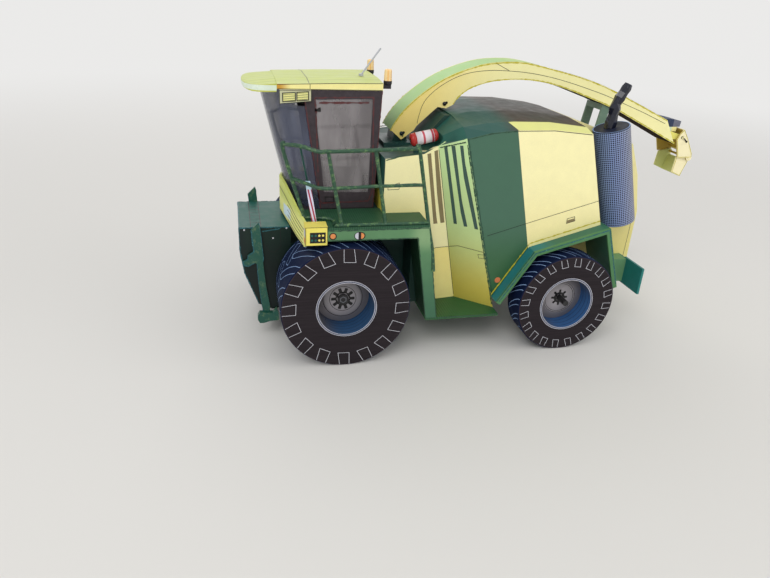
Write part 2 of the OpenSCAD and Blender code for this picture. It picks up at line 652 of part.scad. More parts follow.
// Hinged end flaps, each a folded back with two sides
flap_out = spout_half + 0.6;
module flap_upper() {
  a = [-189.4, 102.6];
  b = [-193, 97.6];
  c = [-197.2, 90.2];
  put() color([0.88, 0.87, 0.5]) union() {
    for (s = [-1, 1]) flip(s) difference() {
      union() {
        plate(flap_out - flap_wall, flap_out, [[-186.2, 97], [-187.4, 100], a, b, c,
          [tip_pin[0] - pin_boss, tip_pin[1] + 0.2], [-189.2, 87.4]]);
        rod_y(tip_pin[0], tip_pin[1], flap_out - flap_wall, flap_out, pin_boss, 32);
      }
      rod_y(flap_pin[0], flap_pin[1], 0, 20, wire_r + play, 24);
    }
    plate(-flap_out, flap_out, [a, b, c, c + [0.8, -0.4], b + [0.8, -0.35], a + [0.7, -0.5]]);
    rod_y(tip_pin[0], tip_pin[1], -flap_out - 0.6, flap_out + 0.6, wire_r, 24);
  }
}
lower_out = flap_out - flap_wall - rest_gap;
module flap_lower() {
  put() color([0.88, 0.87, 0.5]) union() {
    for (s = [-1, 1]) flip(s) difference() {
      union() {
        plate(lower_out - flap_wall, lower_out, [[-189.2, 87.2], [-196.4, 88.6], [-197.6, 86.8],
          [-194.2, 76.8], [-188.4, 79.2]]);
        rod_y(tip_pin[0], tip_pin[1], lower_out - flap_wall, lower_out, 1.4, 32);
      }
      rod_y(tip_pin[0], tip_pin[1], 0, 20, wire_r + play, 24);
    }
    plate(-lower_out, lower_out, [[-197.1, 85.4], [-194.2, 76.8], [-193.4, 77.1], [-196.2, 85.4]]);
  }
}

// Mud flap behind a rear wheel, on a folded arm from the rear body
module mud_flap(s) {
  put(s) color([0.12, 0.38, 0.33]) union() {
    box([rear_x - 46.6, 29, 24], [rear_x - 45.4, 46, 38.4]);
    box([rear_x - 46, tail_half, 25], [rear_x - 36, 31, 38]);
  }
}
module mud_flap_left() { mud_flap(1); }
module mud_flap_right() { mud_flap(-1); }

chassis();
front_axle();
front_tyre_left();
front_tyre_right();
front_rim_left();
front_rim_right();
rear_axle();
knuckle_left();
knuckle_right();
tie_rod();
rear_tyre_left();
rear_tyre_right();
rear_rim_left();
rear_rim_right();
intake_housing();
header_frame();
front_fender_left();
front_fender_right();
deck_left();
deck_right();
railing_left();
railing_right();
apron();
lamp_box_left();
lamp_box_right();
cab_frame();
cab_glass();
door_glass_left();
door_glass_right();
roof();
air_grille_left();
air_grille_right();
antenna();
beacon_left();
beacon_right();
warning_board_left();
warning_board_right();
rear_housing();
vent_panel_left();
vent_panel_right();
hood();
tail_body();
step_left();
step_right();
rear_fender_left();
rear_fender_right();
exhaust_shield();
exhaust_pipe();
extinguisher();
spout_rack();
spout_turret();
spout();
spout_lamp();
flap_upper();
flap_lower();
mud_flap_left();
mud_flap_right();
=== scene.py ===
import math

import bpy
import numpy as np
from mathutils import Matrix, Vector


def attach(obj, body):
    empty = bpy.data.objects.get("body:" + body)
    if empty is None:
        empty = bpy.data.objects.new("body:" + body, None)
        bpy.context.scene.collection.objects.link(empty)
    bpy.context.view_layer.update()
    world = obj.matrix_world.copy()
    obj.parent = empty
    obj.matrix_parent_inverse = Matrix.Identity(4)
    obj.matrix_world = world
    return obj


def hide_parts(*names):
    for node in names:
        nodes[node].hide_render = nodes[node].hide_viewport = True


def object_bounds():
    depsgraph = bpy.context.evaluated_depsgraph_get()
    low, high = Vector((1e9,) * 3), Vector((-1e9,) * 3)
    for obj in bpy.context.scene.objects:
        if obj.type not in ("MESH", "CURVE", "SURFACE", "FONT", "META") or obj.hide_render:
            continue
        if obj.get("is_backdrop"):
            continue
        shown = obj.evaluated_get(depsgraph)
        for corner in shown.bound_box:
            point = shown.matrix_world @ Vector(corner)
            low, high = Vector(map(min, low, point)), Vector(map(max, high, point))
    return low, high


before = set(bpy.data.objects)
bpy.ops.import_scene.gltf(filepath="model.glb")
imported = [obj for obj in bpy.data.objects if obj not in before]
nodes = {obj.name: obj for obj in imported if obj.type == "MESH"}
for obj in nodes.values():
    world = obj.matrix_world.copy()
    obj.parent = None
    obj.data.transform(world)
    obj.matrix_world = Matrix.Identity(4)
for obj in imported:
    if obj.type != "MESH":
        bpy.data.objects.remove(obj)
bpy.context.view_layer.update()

scene = bpy.context.scene
frameShift = 75.75  # lengths here are millimetres from the front axle, the frame starts at its middle
hands = ((1, "left"), (-1, "right"))
print("frame loaded,", len(nodes), "nodes")


# Geometry helpers

def unit(vectors):  # the same directions with length one
    return vectors / np.maximum(1e-6, np.linalg.norm(vectors, axis=-1, keepdims=True))


def circle(count):  # angles at equal steps round a circle
    return np.linspace(0, 2 * np.pi, count, endpoint=False)


def gridFaces(rows, columns, closeRows=False, closeColumns=False):
    # quads between neighbouring points of a grid, facing along (next row) x (next column)
    r = np.arange(rows if closeRows else rows - 1)[:, None]
    c = np.arange(columns if closeColumns else columns - 1)[None, :]
    nextR, nextC = (r + 1) % rows, (c + 1) % columns
    corners = [r * columns + c, nextR * columns + c, nextR * columns + nextC, r * columns + nextC]
    return np.stack(corners, -1).reshape(-1, 4)


def draw(name, parts, material, body="frame", smooth=True):
    # one piece from several (points, faces), moved from millimetres to the frame's metres; it rides a body
    points, faces, count = [], [], 0
    for partPoints, partFaces in parts:
        partPoints = np.asarray(partPoints, float).reshape(-1, 3)
        points.append(partPoints)
        faces += [[int(i) + count for i in face] for face in partFaces]
        count += len(partPoints)
    mesh = bpy.data.meshes.new(name)
    mesh.from_pydata(((np.vstack(points) + [frameShift, 0, 0]) * 0.001).tolist(), [], faces)
    mesh.polygons.foreach_set("use_smooth", [smooth] * len(mesh.polygons))
    mesh.materials.append(material)
    mesh.update()
    piece = bpy.data.objects.new(name, mesh)
    scene.collection.objects.link(piece)
    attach(piece, body)
    return piece


def resampled(path, stepLength):  # the same corners with points about stepLength apart between them
    path = np.asarray(path, float)
    span = np.linalg.norm(np.diff(path, axis=0), axis=1)
    counts = np.maximum(1, np.ceil(span / stepLength).astype(int))
    knots = np.concatenate([[0], np.cumsum(counts)])
    steps = np.arange(knots[-1] + 1)
    return np.stack([np.interp(steps, knots, column) for column in path.T], 1)


def smoothPath(path, perSpan):
    # Catmull-Rom: on each span the cubic whose slope at a knot is half the way between its neighbours
    path = np.asarray(path, float)
    ends = np.vstack([path[:1], path, path[-1:]])
    t = np.linspace(0, 1, perSpan, endpoint=False)[None, :, None]
    a, b, c, d = ends[:-3, None], ends[1:-2, None], ends[2:-1, None], ends[3:, None]
    bend, twist = 2 * a - 5 * b + 4 * c - d, 3 * b - a - 3 * c + d
    curve = 0.5 * (2 * b + (c - a) * t + bend * t ** 2 + twist * t ** 3)
    return np.vstack([curve.reshape(-1, path.shape[1]), path[-1]])


band = {"step": 1.1, "leastCosine": 0.55, "drift": 0.25}


def ribbon(path, normal, width, rough=0.0, seed=1, lift=0.06, closed=False):
    # a flat band: each path point p gives p + lift n - w/2 (n x t) and p + lift n + w/2 (n x t), with t the
    # mean direction of the two stretches there and w opened at a corner by 1/cos of half its turn; rough is
    # the share by which the width and the middle wander
    path = np.asarray(path, float)
    normal = np.broadcast_to(np.asarray(normal, float), path.shape)
    if rough:
        both = resampled(np.hstack([path, normal]), band["step"])
        path, normal = both[:, :3], both[:, 3:]
    normal = unit(normal)
    if closed:
        before, after = path - np.roll(path, 1, 0), np.roll(path, -1, 0) - path
    else:
        span = np.diff(path, axis=0)
        before, after = np.vstack([span[:1], span]), np.vstack([span, span[-1:]])
    after = unit(after)
    along = unit(unit(before) + after)
    half = 0.5 * width / np.maximum(band["leastCosine"], np.sum(along * after, 1, keepdims=True))
    across = np.cross(normal, along)
    middle = path + lift * normal
    if rough:
        dice = np.random.default_rng(seed)
        half = half * (1 + rough * dice.uniform(-1, 1, (len(path), 1)))
        middle = middle + across * width * band["drift"] * rough * dice.uniform(-1, 1, (len(path), 1))
    points = np.stack([middle - half * across, middle + half * across], 1)
    return points, gridFaces(len(path), 2, closeRows=closed)


def patch(corners, normal, lift=0.06):  # a flat filled shape that faces along the normal
    corners = np.asarray(corners, float) + lift * np.asarray(normal, float)
    a, b, c = corners[:3]
    order = list(range(len(corners)))
    if np.dot(np.cross(b - a, c - b), normal) < 0:
        order.reverse()
    return corners, [order]


def sidePath(outline, y, side):  # x and z of an outline put on an upright face
    x, z = np.asarray(outline, float).T
    return np.stack([x, np.full(len(x), float(y) * side), z], 1)


def onSide(outline, y, width, side, *wander, **more):  # a ribbon on an upright face
    return ribbon(sidePath(outline, y, side), (0, side, 0), width, *wander, **more)


def sideLines(rows, y, side):  # each row is the width, the wander, its seed and the points of a line
    return [onSide(outline, y, width, side, rough, seed) for width, rough, seed, outline in rows]


def sidePatch(outline, y, side, **more):
    return patch(sidePath(outline, y, side), (0, side, 0), **more)


def ringPath(x, z, y, radius, count=72):  # points round a circle in an upright plane
    a = circle(count)
    return np.stack([x + radius * np.cos(a), np.full(count, float(y)), z + radius * np.sin(a)], 1)


def discOn(x, z, y, side, radius, half=0, count=28, lift=0.09):
    # a flat disc on an upright face; half is 0 for the whole, 1 for its front half and -1 for its rear half
    a = circle(count)
    if half:
        a = np.linspace(-np.pi / 2, np.pi / 2, 16) + (0 if half > 0 else np.pi)
    points = np.stack([x + radius * np.cos(a), np.full(len(a), side * (y + lift)), z + radius * np.sin(a)], 1)
    order = list(range(len(a)))
    return points, [order[::-1] if side > 0 else order]


def tubeFaces(rings, sides):  # quads between rings of points, and a cap on each end
    last = rings * sides - 1
    quads = gridFaces(rings, sides, closeColumns=True)[:, ::-1].tolist()
    return quads + [list(range(sides)), list(range(last, last - sides, -1))]


def tubeMesh(path, radius, sides, twist=0.0):
    # circle of the given radius carried along the path; its plane turns with the path's direction
    path = np.asarray(path, float)
    radius = np.broadcast_to(np.asarray(radius, float), (len(path),))[:, None, None]
    slope = unit(np.gradient(path, axis=0))
    first = unit(np.cross(slope, [0.03, 1.0, 0.02]))
    second = np.cross(slope, first)
    a = (circle(sides)[None, :] + twist * np.linspace(0, 1, len(path))[:, None])[..., None]
    ring = np.cos(a) * first[:, None] + np.sin(a) * second[:, None]
    return path[:, None] + radius * ring, tubeFaces(len(path), sides)


def lathe(origin, axis, profile, sides):
    # profile points (distance along the axis, radius) turned round the axis, with a flat cap on each end
    axis = unit(np.asarray(axis, float))
    first = unit(np.cross(axis, [0, 1.0, 0] if abs(axis[1]) < 0.9 else [1.0, 0, 0]))
    second = np.cross(axis, first)
    along, radius = np.asarray(profile, float).T[:, :, None, None]
    a = circle(sides)[:, None]
    ring = np.cos(a) * first + np.sin(a) * second
    return np.asarray(origin, float) + along * axis + radius * ring, tubeFaces(len(profile), sides)


# Material helpers

def ink(red, green, blue):  # a screen colour, 0 to 255, as Blender's linear colour
    c = np.array([red, green, blue]) / 255
    return tuple(np.where(c <= 0.04045, c / 12.92, ((c + 0.055) / 1.055) ** 2.4)) + (1.0,)


def addNode(tree, kind, inputs=None, **settings):  # a shader node with its inputs linked or set
    node = tree.nodes.new("ShaderNode" + kind)
    for key, value in settings.items():
        setattr(node, key, value)
    for key, value in (inputs or {}).items():
        if isinstance(value, bpy.types.NodeSocket):
            tree.links.new(value, node.inputs[key])
        else:
            node.inputs[key].default_value = value
    return node


def linkAll(tree, target, sockets):
    for key, socket in sockets.items():
        tree.links.new(socket, target[key])


def calc(tree, operation, a, b=0.0, c=0.0):
    return addNode(tree, "Math", {0: a, 1: b, 2: c}, operation=operation).outputs[0]


def times(tree, first, *others):  # the product of masks and shares
    for other in others:
        first = calc(tree, "MULTIPLY", first, other)
    return first


def vectorCalc(tree, operation, a, b=(0.0, 0.0, 0.0)):
    node = addNode(tree, "VectorMath", {0: a, 1: b}, operation=operation)
    return node.outputs["Value" if operation in ("DOT_PRODUCT", "LENGTH") else "Vector"]


def mixed(tree, share, a, b):  # a where the share is 0, b where it is 1
    return addNode(tree, "Mix", {0: share, 6: a, 7: b}, data_type="RGBA").outputs[2]


def rampUp(tree, value, edge, soft):  # 0 below the edge, 1 above it, a smooth step in between
    limits = {0: value, 1: edge - soft / 2, 2: edge + soft / 2}
    return addNode(tree, "MapRange", limits, interpolation_type="SMOOTHSTEP").outputs[0]


def rampDown(tree, value, edge, soft):  # 1 below the edge, 0 above it
    return calc(tree, "SUBTRACT", 1.0, rampUp(tree, value, edge, soft))


def noise(tree, vector, scale, detail, **more):
    values = {"Vector": vector, "Scale": scale, "Detail": detail, **more}
    return addNode(tree, "TexNoise", values).outputs[0]


def relief(tree, strength, distance, height):
    values = {"Strength": strength, "Distance": distance, "Height": height}
    return addNode(tree, "Bump", values).outputs[0]


def axes(tree, vector):  # x, y and z of a point, and how far away it is from the middle plane
    x, y, z = addNode(tree, "SeparateXYZ", {0: vector}).outputs
    return {"x": x, "y": y, "z": z, "away": calc(tree, "ABSOLUTE", y)}


def newGroup(name, inputs, outputs):
    tree = bpy.data.node_groups.new(name, "ShaderNodeTree")
    for label, kind, value in inputs:
        socket = tree.interface.new_socket(label, in_out="INPUT", socket_type="NodeSocket" + kind)
        if value is not None:
            socket.default_value = value
    for label, kind in outputs:
        tree.interface.new_socket(label, in_out="OUTPUT", socket_type="NodeSocket" + kind)
    return tree, tree.nodes.new("NodeGroupInput").outputs, tree.nodes.new("NodeGroupOutput").inputs


surface = [("Colour", "Color"), ("Roughness", "Float"), ("Normal", "Vector")]
cardLook = {"cloudScale": 0.22, "fibreScale": 3.2, "glossSpread": 0.35, "relief": 0.22, "depth": 0.00004}
brushLook = {"fleckEdge": 0.59, "fleckSoft": 0.18, "glossSpread": 0.4, "gloss": 0.22, "relief": 0.45,
             "depth": 0.00012}


def makeCardFinish():  # printed card: soft mottling, fine fibres, slightly uneven gloss
    tree, given, result = newGroup("cardFinish", [
        ("Colour", "Color", (0.8, 0.8, 0.8, 1)), ("Vector", "Vector", None),
        ("Mottle", "Float", 0.1), ("Fibre", "Float", 0.1), ("Gloss", "Float", 0.45)], surface)
    fibre = noise(tree, given["Vector"], cardLook["fibreScale"], 3.0)
    soft = calc(tree, "SUBTRACT", noise(tree, given["Vector"], cardLook["cloudScale"], 4.0), 0.5)
    fine = calc(tree, "SUBTRACT", fibre, 0.5)
    shade = calc(tree, "MULTIPLY_ADD", soft, given["Mottle"], 1.0)
    shade = calc(tree, "MULTIPLY_ADD", fine, given["Fibre"], shade)
    tinted = addNode(tree, "VectorMath", {0: given["Colour"], "Scale": shade}, operation="SCALE")
    linkAll(tree, result, {
        "Colour": tinted.outputs[0], "Normal": relief(tree, cardLook["relief"], cardLook["depth"], fibre),
        "Roughness": calc(tree, "MULTIPLY_ADD", soft, cardLook["glossSpread"], given["Gloss"])})
    return tree


def makeBrushPaint():  # hand painted card edges and rods: streaks and light flecks, worn paint on the edges and painted highlights on the railing's rods
    tree, given, result = newGroup("brushPaint", [
        ("Colour", "Color", (0.1, 0.2, 0.1, 1)), ("WornAndHighlight", "Color", (0.3, 0.4, 0.35, 1)),
        ("Vector", "Vector", None), ("WearAndHighlight", "Float", 0.4), ("Size", "Float", 0.9)], surface)
    patchy = noise(tree, given["Vector"], given["Size"], 5.0, Roughness=0.65)
    fleck = rampUp(tree, patchy, brushLook["fleckEdge"], brushLook["fleckSoft"])
    linkAll(tree, result, {
        "Colour": mixed(tree, times(tree, fleck, given["WearAndHighlight"]), given["Colour"], given["WornAndHighlight"]),
        "Roughness": calc(tree, "MULTIPLY_ADD", patchy, brushLook["glossSpread"], brushLook["gloss"]),
        "Normal": relief(tree, brushLook["relief"], brushLook["depth"], patchy)})
    return tree


def makeSplit():
    # 1 on the far side of a plane: smooth step, from -0.5 to 0.5, of (point . direction - offset) / softness
    tree, given, result = newGroup("planeSplit", [
        ("Vector", "Vector", None), ("Direction", "Vector", None), ("Offset", "Float", 0.0),
        ("Softness", "Float", 0.1)], [("Mask", "Float")])
    reach = vectorCalc(tree, "DOT_PRODUCT", given["Vector"], given["Direction"])
    gap = calc(tree, "DIVIDE", calc(tree, "SUBTRACT", reach, given["Offset"]), given["Softness"])
    linkAll(tree, result, {"Mask": rampUp(tree, gap, 0.0, 1.0)})
    return tree


def makeStripes():
    # 1 on the middle share of each period: smooth step of (share / 2 - distance from the middle) / softness,
    # with the distance as a part of the period
    tree, given, result = newGroup("stripeMask", [
        ("Value", "Float", 0.0), ("Period", "Float", 1.0), ("Share", "Float", 0.3),
        ("Softness", "Float", 0.06)], [("Mask", "Float")])
    part = calc(tree, "FRACT", calc(tree, "DIVIDE", given["Value"], given["Period"]))
    away = calc(tree, "ABSOLUTE", calc(tree, "SUBTRACT", part, 0.5))
    gap = calc(tree, "SUBTRACT", times(tree, given["Share"], 0.5), away)
    linkAll(tree, result, {"Mask": rampUp(tree, calc(tree, "DIVIDE", gap, given["Softness"]), 0.0, 1.0)})
    return tree


cardFinish, brushPaint = makeCardFinish(), makeBrushPaint()
planeSplit, stripeMask = makeSplit(), makeStripes()


def beyond(tree, vector, a, b, soft):
    # mask that is 1 on one side of the line from a to b in side view: above it where b lies ahead of a
    a, b = np.array(a, float), np.array(b, float)
    n = unit(np.array([-(b - a)[1], (b - a)[0]]))
    return addNode(tree, "Group", {"Vector": vector, "Direction": (n[0], 0, n[1]), "Softness": soft,
                                             "Offset": float(n @ a)}, node_tree=planeSplit).outputs[0]


def stripes(tree, value, period, share, soft):
    return addNode(tree, "Group", {"Value": value, "Period": period, "Share": share,
                                             "Softness": soft}, node_tree=stripeMask).outputs[0]


# a paint is a colour, or a function of the tree and the point that gives one
def painted(paint, tree, mm):
    return paint(tree, mm) if callable(paint) else paint


def layers(base, *steps):
    # each step lays its paint over what is there above its edge along x, z or away from the middle plane,
    # or, for a line of two points in side view, on the side that is told at beyond
    def paint(tree, mm):
        at = axes(tree, mm)
        colour = painted(base, tree, mm)
        for axis, edge, soft, over in steps:
            mask = beyond(tree, mm, *edge, soft) if axis == "line" else rampUp(tree, at[axis], edge, soft)
            colour = mixed(tree, mask, colour, painted(over, tree, mm))
        return colour
    return paint


def clouded(low, high, scale, detail):  # two colours mixed by soft noise
    return lambda tree, mm: mixed(tree, noise(tree, mm, scale, detail), low, high)


def striped(ground, line, period, share, soft):  # stripes that follow each other along x
    return lambda tree, mm: mixed(tree, stripes(tree, axes(tree, mm)["x"], period, share, soft), ground, line)


def blankMaterial(name):
    material = bpy.data.materials.new(name)
    material.use_nodes = True
    tree = material.node_tree
    where = addNode(tree, "TexCoord").outputs["Object"]
    millimetres = {"Vector": where, "Scale": (1000, 1000, 1000), "Location": (-frameShift, 0, 0)}
    place = addNode(tree, "Mapping", millimetres)
    return material, tree, tree.nodes["Principled BSDF"], place.outputs[0]


def finished(name, group, paint, specular, values):
    # a material whose colour, roughness and relief come from one of the shared finishes
    material, tree, shader, mm = blankMaterial(name)
    inputs = {"Colour": painted(paint, tree, mm), "Vector": mm, **values}
    looks = addNode(tree, "Group", inputs, node_tree=group).outputs
    linkAll(tree, shader.inputs, {"Base Color": looks["Colour"], "Roughness": looks["Roughness"],
                                  "Normal": looks["Normal"]})
    shader.inputs["Specular IOR Level"].default_value = specular
    return material


def cardMaterial(name, paint, mottle=0.12, fibre=0.12, gloss=0.5, specular=0.35):
    return finished(name, cardFinish, paint, specular, {"Mottle": mottle, "Fibre": fibre, "Gloss": gloss})


def brushMaterial(name, paint, wornAndHighlight, wearAndHighlight, size):
    return finished(name, brushPaint, paint, 0.5, {"WornAndHighlight": wornAndHighlight, "WearAndHighlight": wearAndHighlight, "Size": size})


def dress(material, *names):  # a name with an underscore at its end stands for its left and right pieces
    for name in names:
        for full in ([name + hand for side, hand in hands] if name.endswith("_") else [name]):
            mesh = nodes[full].data
            mesh.materials.clear()
            mesh.materials.append(material)


# Inks shared by the printed lines
blackInk = cardMaterial("black_ink", ink(28, 26, 26), mottle=0.5, gloss=0.4)
whiteInk = cardMaterial("white_ink", ink(205, 206, 214), mottle=0.3)
blueInk = cardMaterial("pale_blue_ink", ink(146, 176, 222), mottle=0.5)
greenEdge = brushMaterial("green_edge_paint", ink(28, 66, 48), ink(78, 120, 86), 0.7, 1.2)
tealEdge = brushMaterial("teal_edge_paint", ink(20, 84, 92), ink(70, 150, 160), 0.7, 1.2)
yellowEdge = brushMaterial("yellow_edge_paint", ink(196, 184, 44), ink(236, 226, 120), 0.5, 1.2)
brownEdge = brushMaterial("brown_edge_paint", ink(84, 34, 36), ink(50, 40, 42), 0.8, 1.0)
print("shared finishes ready")

# Wheels

# the rim's grey and the hub's dark grey are painted shade, laid on along the slant in rimPaint
wheel = {"face": 55.0, "flatHub": 8.74, "cone": 0.449, "rimRings": (14.02, 13.2), "line": 0.2,
         "tread": ink(12, 24, 54), "wall": (ink(32, 28, 31), ink(50, 44, 48)), "shoulder": ink(56, 44, 48),
         "rimShadeGrey": ink(84, 82, 88), "rimDark": ink(34, 38, 54), "rimLip": ink(88, 92, 112),
         "hub": (ink(172, 167, 171), ink(134, 130, 134)), "hubShadeDark": ink(92, 92, 98)}
wheelEnds = {
    "front": {"x": 0.0, "r": 30.0, "plate": 44.0, "blue": ink(44, 82, 122), "lugs": 16, "lugTurn": 0.0,
              "markTurn": 1.0, "outer": 29.5, "inner": 23.3, "half": 2.55, "lean": 1.5, "treadLine": 0.26,
              "hubRings": (6.3, 9.4), "hubLine": 0.26, "star": (3.6, 2.0, 10, 2.7, -0.1)},
    "rear": {"x": -111.0, "r": 25.5, "plate": 47.0, "blue": ink(56, 98, 150), "lugs": 20, "lugTurn": 5.0,
             "markTurn": 5.0, "outer": 24.6, "inner": 20.4, "half": 1.55, "lean": 1.2, "treadLine": 0.32,
             "hubRings": (7.6, 8.4), "hubLine": 0.22, "star": (2.9, 1.5, 8, 1.6, 0.25)}}
# outlines in degrees round the front wheel and millimetres across it
frontTread = [[(68.2, 54.6), (63.8, 49.1), (57.5, 43.9), (48.5, 38.4), (42, 35.5), (40.2, 38.9), (42.5, 41),
               (49.5, 45.2), (55.8, 49.8), (61.3, 54.6)],
              [(53.3, 32.2), (33.2, 39.9), (31.5, 36.2), (49.3, 29.4), (53.3, 32.2)],
              [(46, 27.1), (26.4, 27.3)]]
rearLug = {"edge": 54.2, "reach": 11.5, "half": 1.5, "sweep": -16.0, "narrower": 0.92, "shorter": 0.86}
capLine = {"radius": 1.5, "y": 45.3, "width": 0.4}


def radial(tree, mm, end):  # distance from the wheel's axis
    at = axes(tree, mm)
    flat = {0: calc(tree, "SUBTRACT", at["x"], end["x"]), 2: calc(tree, "SUBTRACT", at["z"], end["r"])}
    return vectorCalc(tree, "LENGTH", addNode(tree, "CombineXYZ", flat).outputs[0])


def tyrePaint(end):
    # by the distance from the axis: the wall, clouded in rings across the wheel, then shoulder and tread
    def paint(tree, mm):
        reach = radial(tree, mm, end)
        banding = addNode(tree, "Mapping", {"Vector": mm, "Scale": (0.05, 0.05, 1.6)})
        face = mixed(tree, noise(tree, banding.outputs[0], 1.0, 2.0), *wheel["wall"])
        edge = mixed(tree, rampUp(tree, reach, end["r"] - 0.7, 0.5), face, wheel["shoulder"])
        return mixed(tree, rampUp(tree, reach, end["r"] - 0.4, 0.15), edge, wheel["tread"])
    return paint


def rimPaint(end):
    # the hub plate inside 12.9 mm from the axis, outside it the barrel with rings across it; both change
    # colour along the slant, which grows downwards and backwards: painted shade, grey on the barrel's upper
    # front and a darker hub on the lower rear
    def paint(tree, mm):
        away = axes(tree, mm)["away"]
        reach = radial(tree, mm, end)
        slant = calc(tree, "ADD", vectorCalc(tree, "DOT_PRODUCT", mm, (-0.7, 0.0, -0.7)),
                     0.7 * (end["x"] + end["r"]))
        barrel = mixed(tree, rampUp(tree, slant, 3.0, 14.0), wheel["rimShadeGrey"], end["blue"])
        rings = times(tree, stripes(tree, away, 2.7, 0.14, 0.08), 0.7)
        barrel = mixed(tree, rings, barrel, wheel["rimDark"])
        barrel = mixed(tree, rampUp(tree, away, 54.9, 0.1), barrel, wheel["rimLip"])
        hub = mixed(tree, rampUp(tree, reach, 7.0, 9.0), *wheel["hub"])
        hub = mixed(tree, times(tree, rampUp(tree, slant, 4.0, 12.0), 0.45), hub, wheel["hubShadeDark"])
        return mixed(tree, rampUp(tree, reach, 12.9, 0.3), hub, barrel)
    return paint


def sideMarks(end, side):
    # open U outlines: two sides along the radius, closed at the hub end, which leans round the tyre
    made = []
    radius = np.array([end["outer"], end["inner"], end["inner"], end["outer"]])
    spread = np.degrees(end["half"] * np.array([-0.9, -1.05, 1.05, 0.9]) / radius)
    turn = end["markTurn"] + spread + end["lean"] * np.array([0, 1, 1, 0])
    for k in range(end["lugs"]):
        a = np.radians(turn + 360 * k / end["lugs"])
        outline = np.stack([end["x"] + radius * np.cos(a), end["r"] + radius * np.sin(a)], 1)
        made.append(onSide(outline, wheel["face"], wheel["line"], side))
    return made


def treadMarks(end, side, turn, across):
    # an outline in degrees round the wheel and millimetres across it, bent over the tread and repeated
    made = []
    for k in range(end["lugs"]):
        a = np.radians(end["lugTurn"] + 360 * k / end["lugs"] + turn)
        outward = np.stack([np.cos(a), np.zeros_like(a), np.sin(a)], 1)
        path = np.stack([end["x"] + end["r"] * np.cos(a), side * across, end["r"] + end["r"] * np.sin(a)], 1)
        made.append(ribbon(path, outward, end["treadLine"], lift=0.07))
    return made


def rearLugOutline(radius):
    # across the width v runs from 0 at the face to 1 inside, the outline turns round the wheel by sweep
    # times v to the power 1.4, and its inner end is cut on the slant
    v = np.linspace(0, 1, 9)
    lift = np.degrees(rearLug["half"] / radius)
    bent = rearLug["sweep"] * v ** 1.4
    turn = np.concatenate([bent - lift, (bent * rearLug["narrower"] + lift)[::-1]])
    return turn, rearLug["edge"] - rearLug["reach"] * np.concatenate([v, v[::-1] * rearLug["shorter"]])


def hubRing(end, side, radius):
    # a ring on the hub plate, which is flat near the axle and then falls inwards as a cone
    cone = wheel["cone"] if radius > wheel["flatHub"] else 0.0
    a = circle(72)
    normal = np.stack([cone * np.cos(a), np.full(72, float(side)), cone * np.sin(a)], 1)
    ring = ringPath(end["x"], end["r"], side * (end["plate"] - (radius - wheel["flatHub"]) * cone), radius)
    return ribbon(ring, normal, end["hubLine"], closed=True)


def hubStar(end, side):
    # radius = base + lobe where the cosine of lobes times the angle is above the edge, filled from a small
    # hole of six flats outwards
    base, lobe, lobes, hole, edge = end["star"]
    a = circle(192)
    outer = base + lobe / (1 + np.exp(-9 * (np.cos(lobes * a) - edge)))
    radii = np.stack([hole / np.cos(np.mod(a, np.pi / 3) - np.pi / 6), outer], 0)
    points = np.stack([end["x"] + radii * np.cos(a), np.full_like(radii, (end["plate"] + 0.08) * side),
                       end["r"] + radii * np.sin(a)], -1)
    faces = gridFaces(2, len(a), closeColumns=True)
    return points, faces if side > 0 else faces[:, ::-1]


hubBlack = cardMaterial("hub_black", ink(24, 23, 25), mottle=0.5, gloss=0.3)
hubGrey = cardMaterial("hub_grey", ink(112, 114, 120), mottle=0.4)
for label, end in wheelEnds.items():
    dress(cardMaterial(label + "_tyre_print", tyrePaint(end), gloss=0.6, specular=0.1), label + "_tyre_")
    dress(cardMaterial(label + "_rim_print", rimPaint(end), gloss=0.35), label + "_rim_")
for side, hand in hands:
    for label, end in wheelEnds.items():
        wheelBody = label + "_wheel_" + hand
        draw(label + "_tyre_marks_" + hand, sideMarks(end, side), whiteInk, wheelBody)
        outlines = [rearLugOutline(end["r"])]
        if label == "front":
            outlines = [resampled(outline, 2.5).T for outline in frontTread]
        lugs = [part for turn, across in outlines for part in treadMarks(end, side, turn, across)]
        draw(label + "_tread_marks_" + hand, lugs, blueInk, wheelBody)
        paths = [ringPath(end["x"], end["r"], side * wheel["face"], radius) for radius in wheel["rimRings"]]
        rings = [ribbon(path, (0, side, 0), wheel["line"], closed=True) for path in paths]
        draw(label + "_rim_rings_" + hand, rings, whiteInk, wheelBody)
        rings = [hubRing(end, side, radius) for radius in end["hubRings"]]
        draw(label + "_hub_rings_" + hand, rings, hubBlack, wheelBody)
        draw(label + "_hub_mark_" + hand, [hubStar(end, side)], hubBlack, wheelBody)
        if label == "front":  # the axle's cap shows through the hub, it has six flats
            a = circle(6) + np.pi / 6
            hexagon = capLine["radius"] * np.stack([np.cos(a), np.sin(a)], 1) + [end["x"], end["r"]]
            line = onSide(hexagon, capLine["y"], capLine["width"], side, closed=True)
            draw("axle_cap_line_" + hand, [line], hubGrey)
print("wheels dressed")

# Undercarriage

axleBlack = brushMaterial("axle_black", ink(26, 25, 27), ink(58, 58, 62), 0.4, 0.8)
dress(axleBlack, "front_axle", "rear_axle", "knuckle_", "tie_rod")
dress(cardMaterial("dark_teal_card", ink(18, 62, 54), mottle=0.35), "chassis")

# Intake housing and header posts

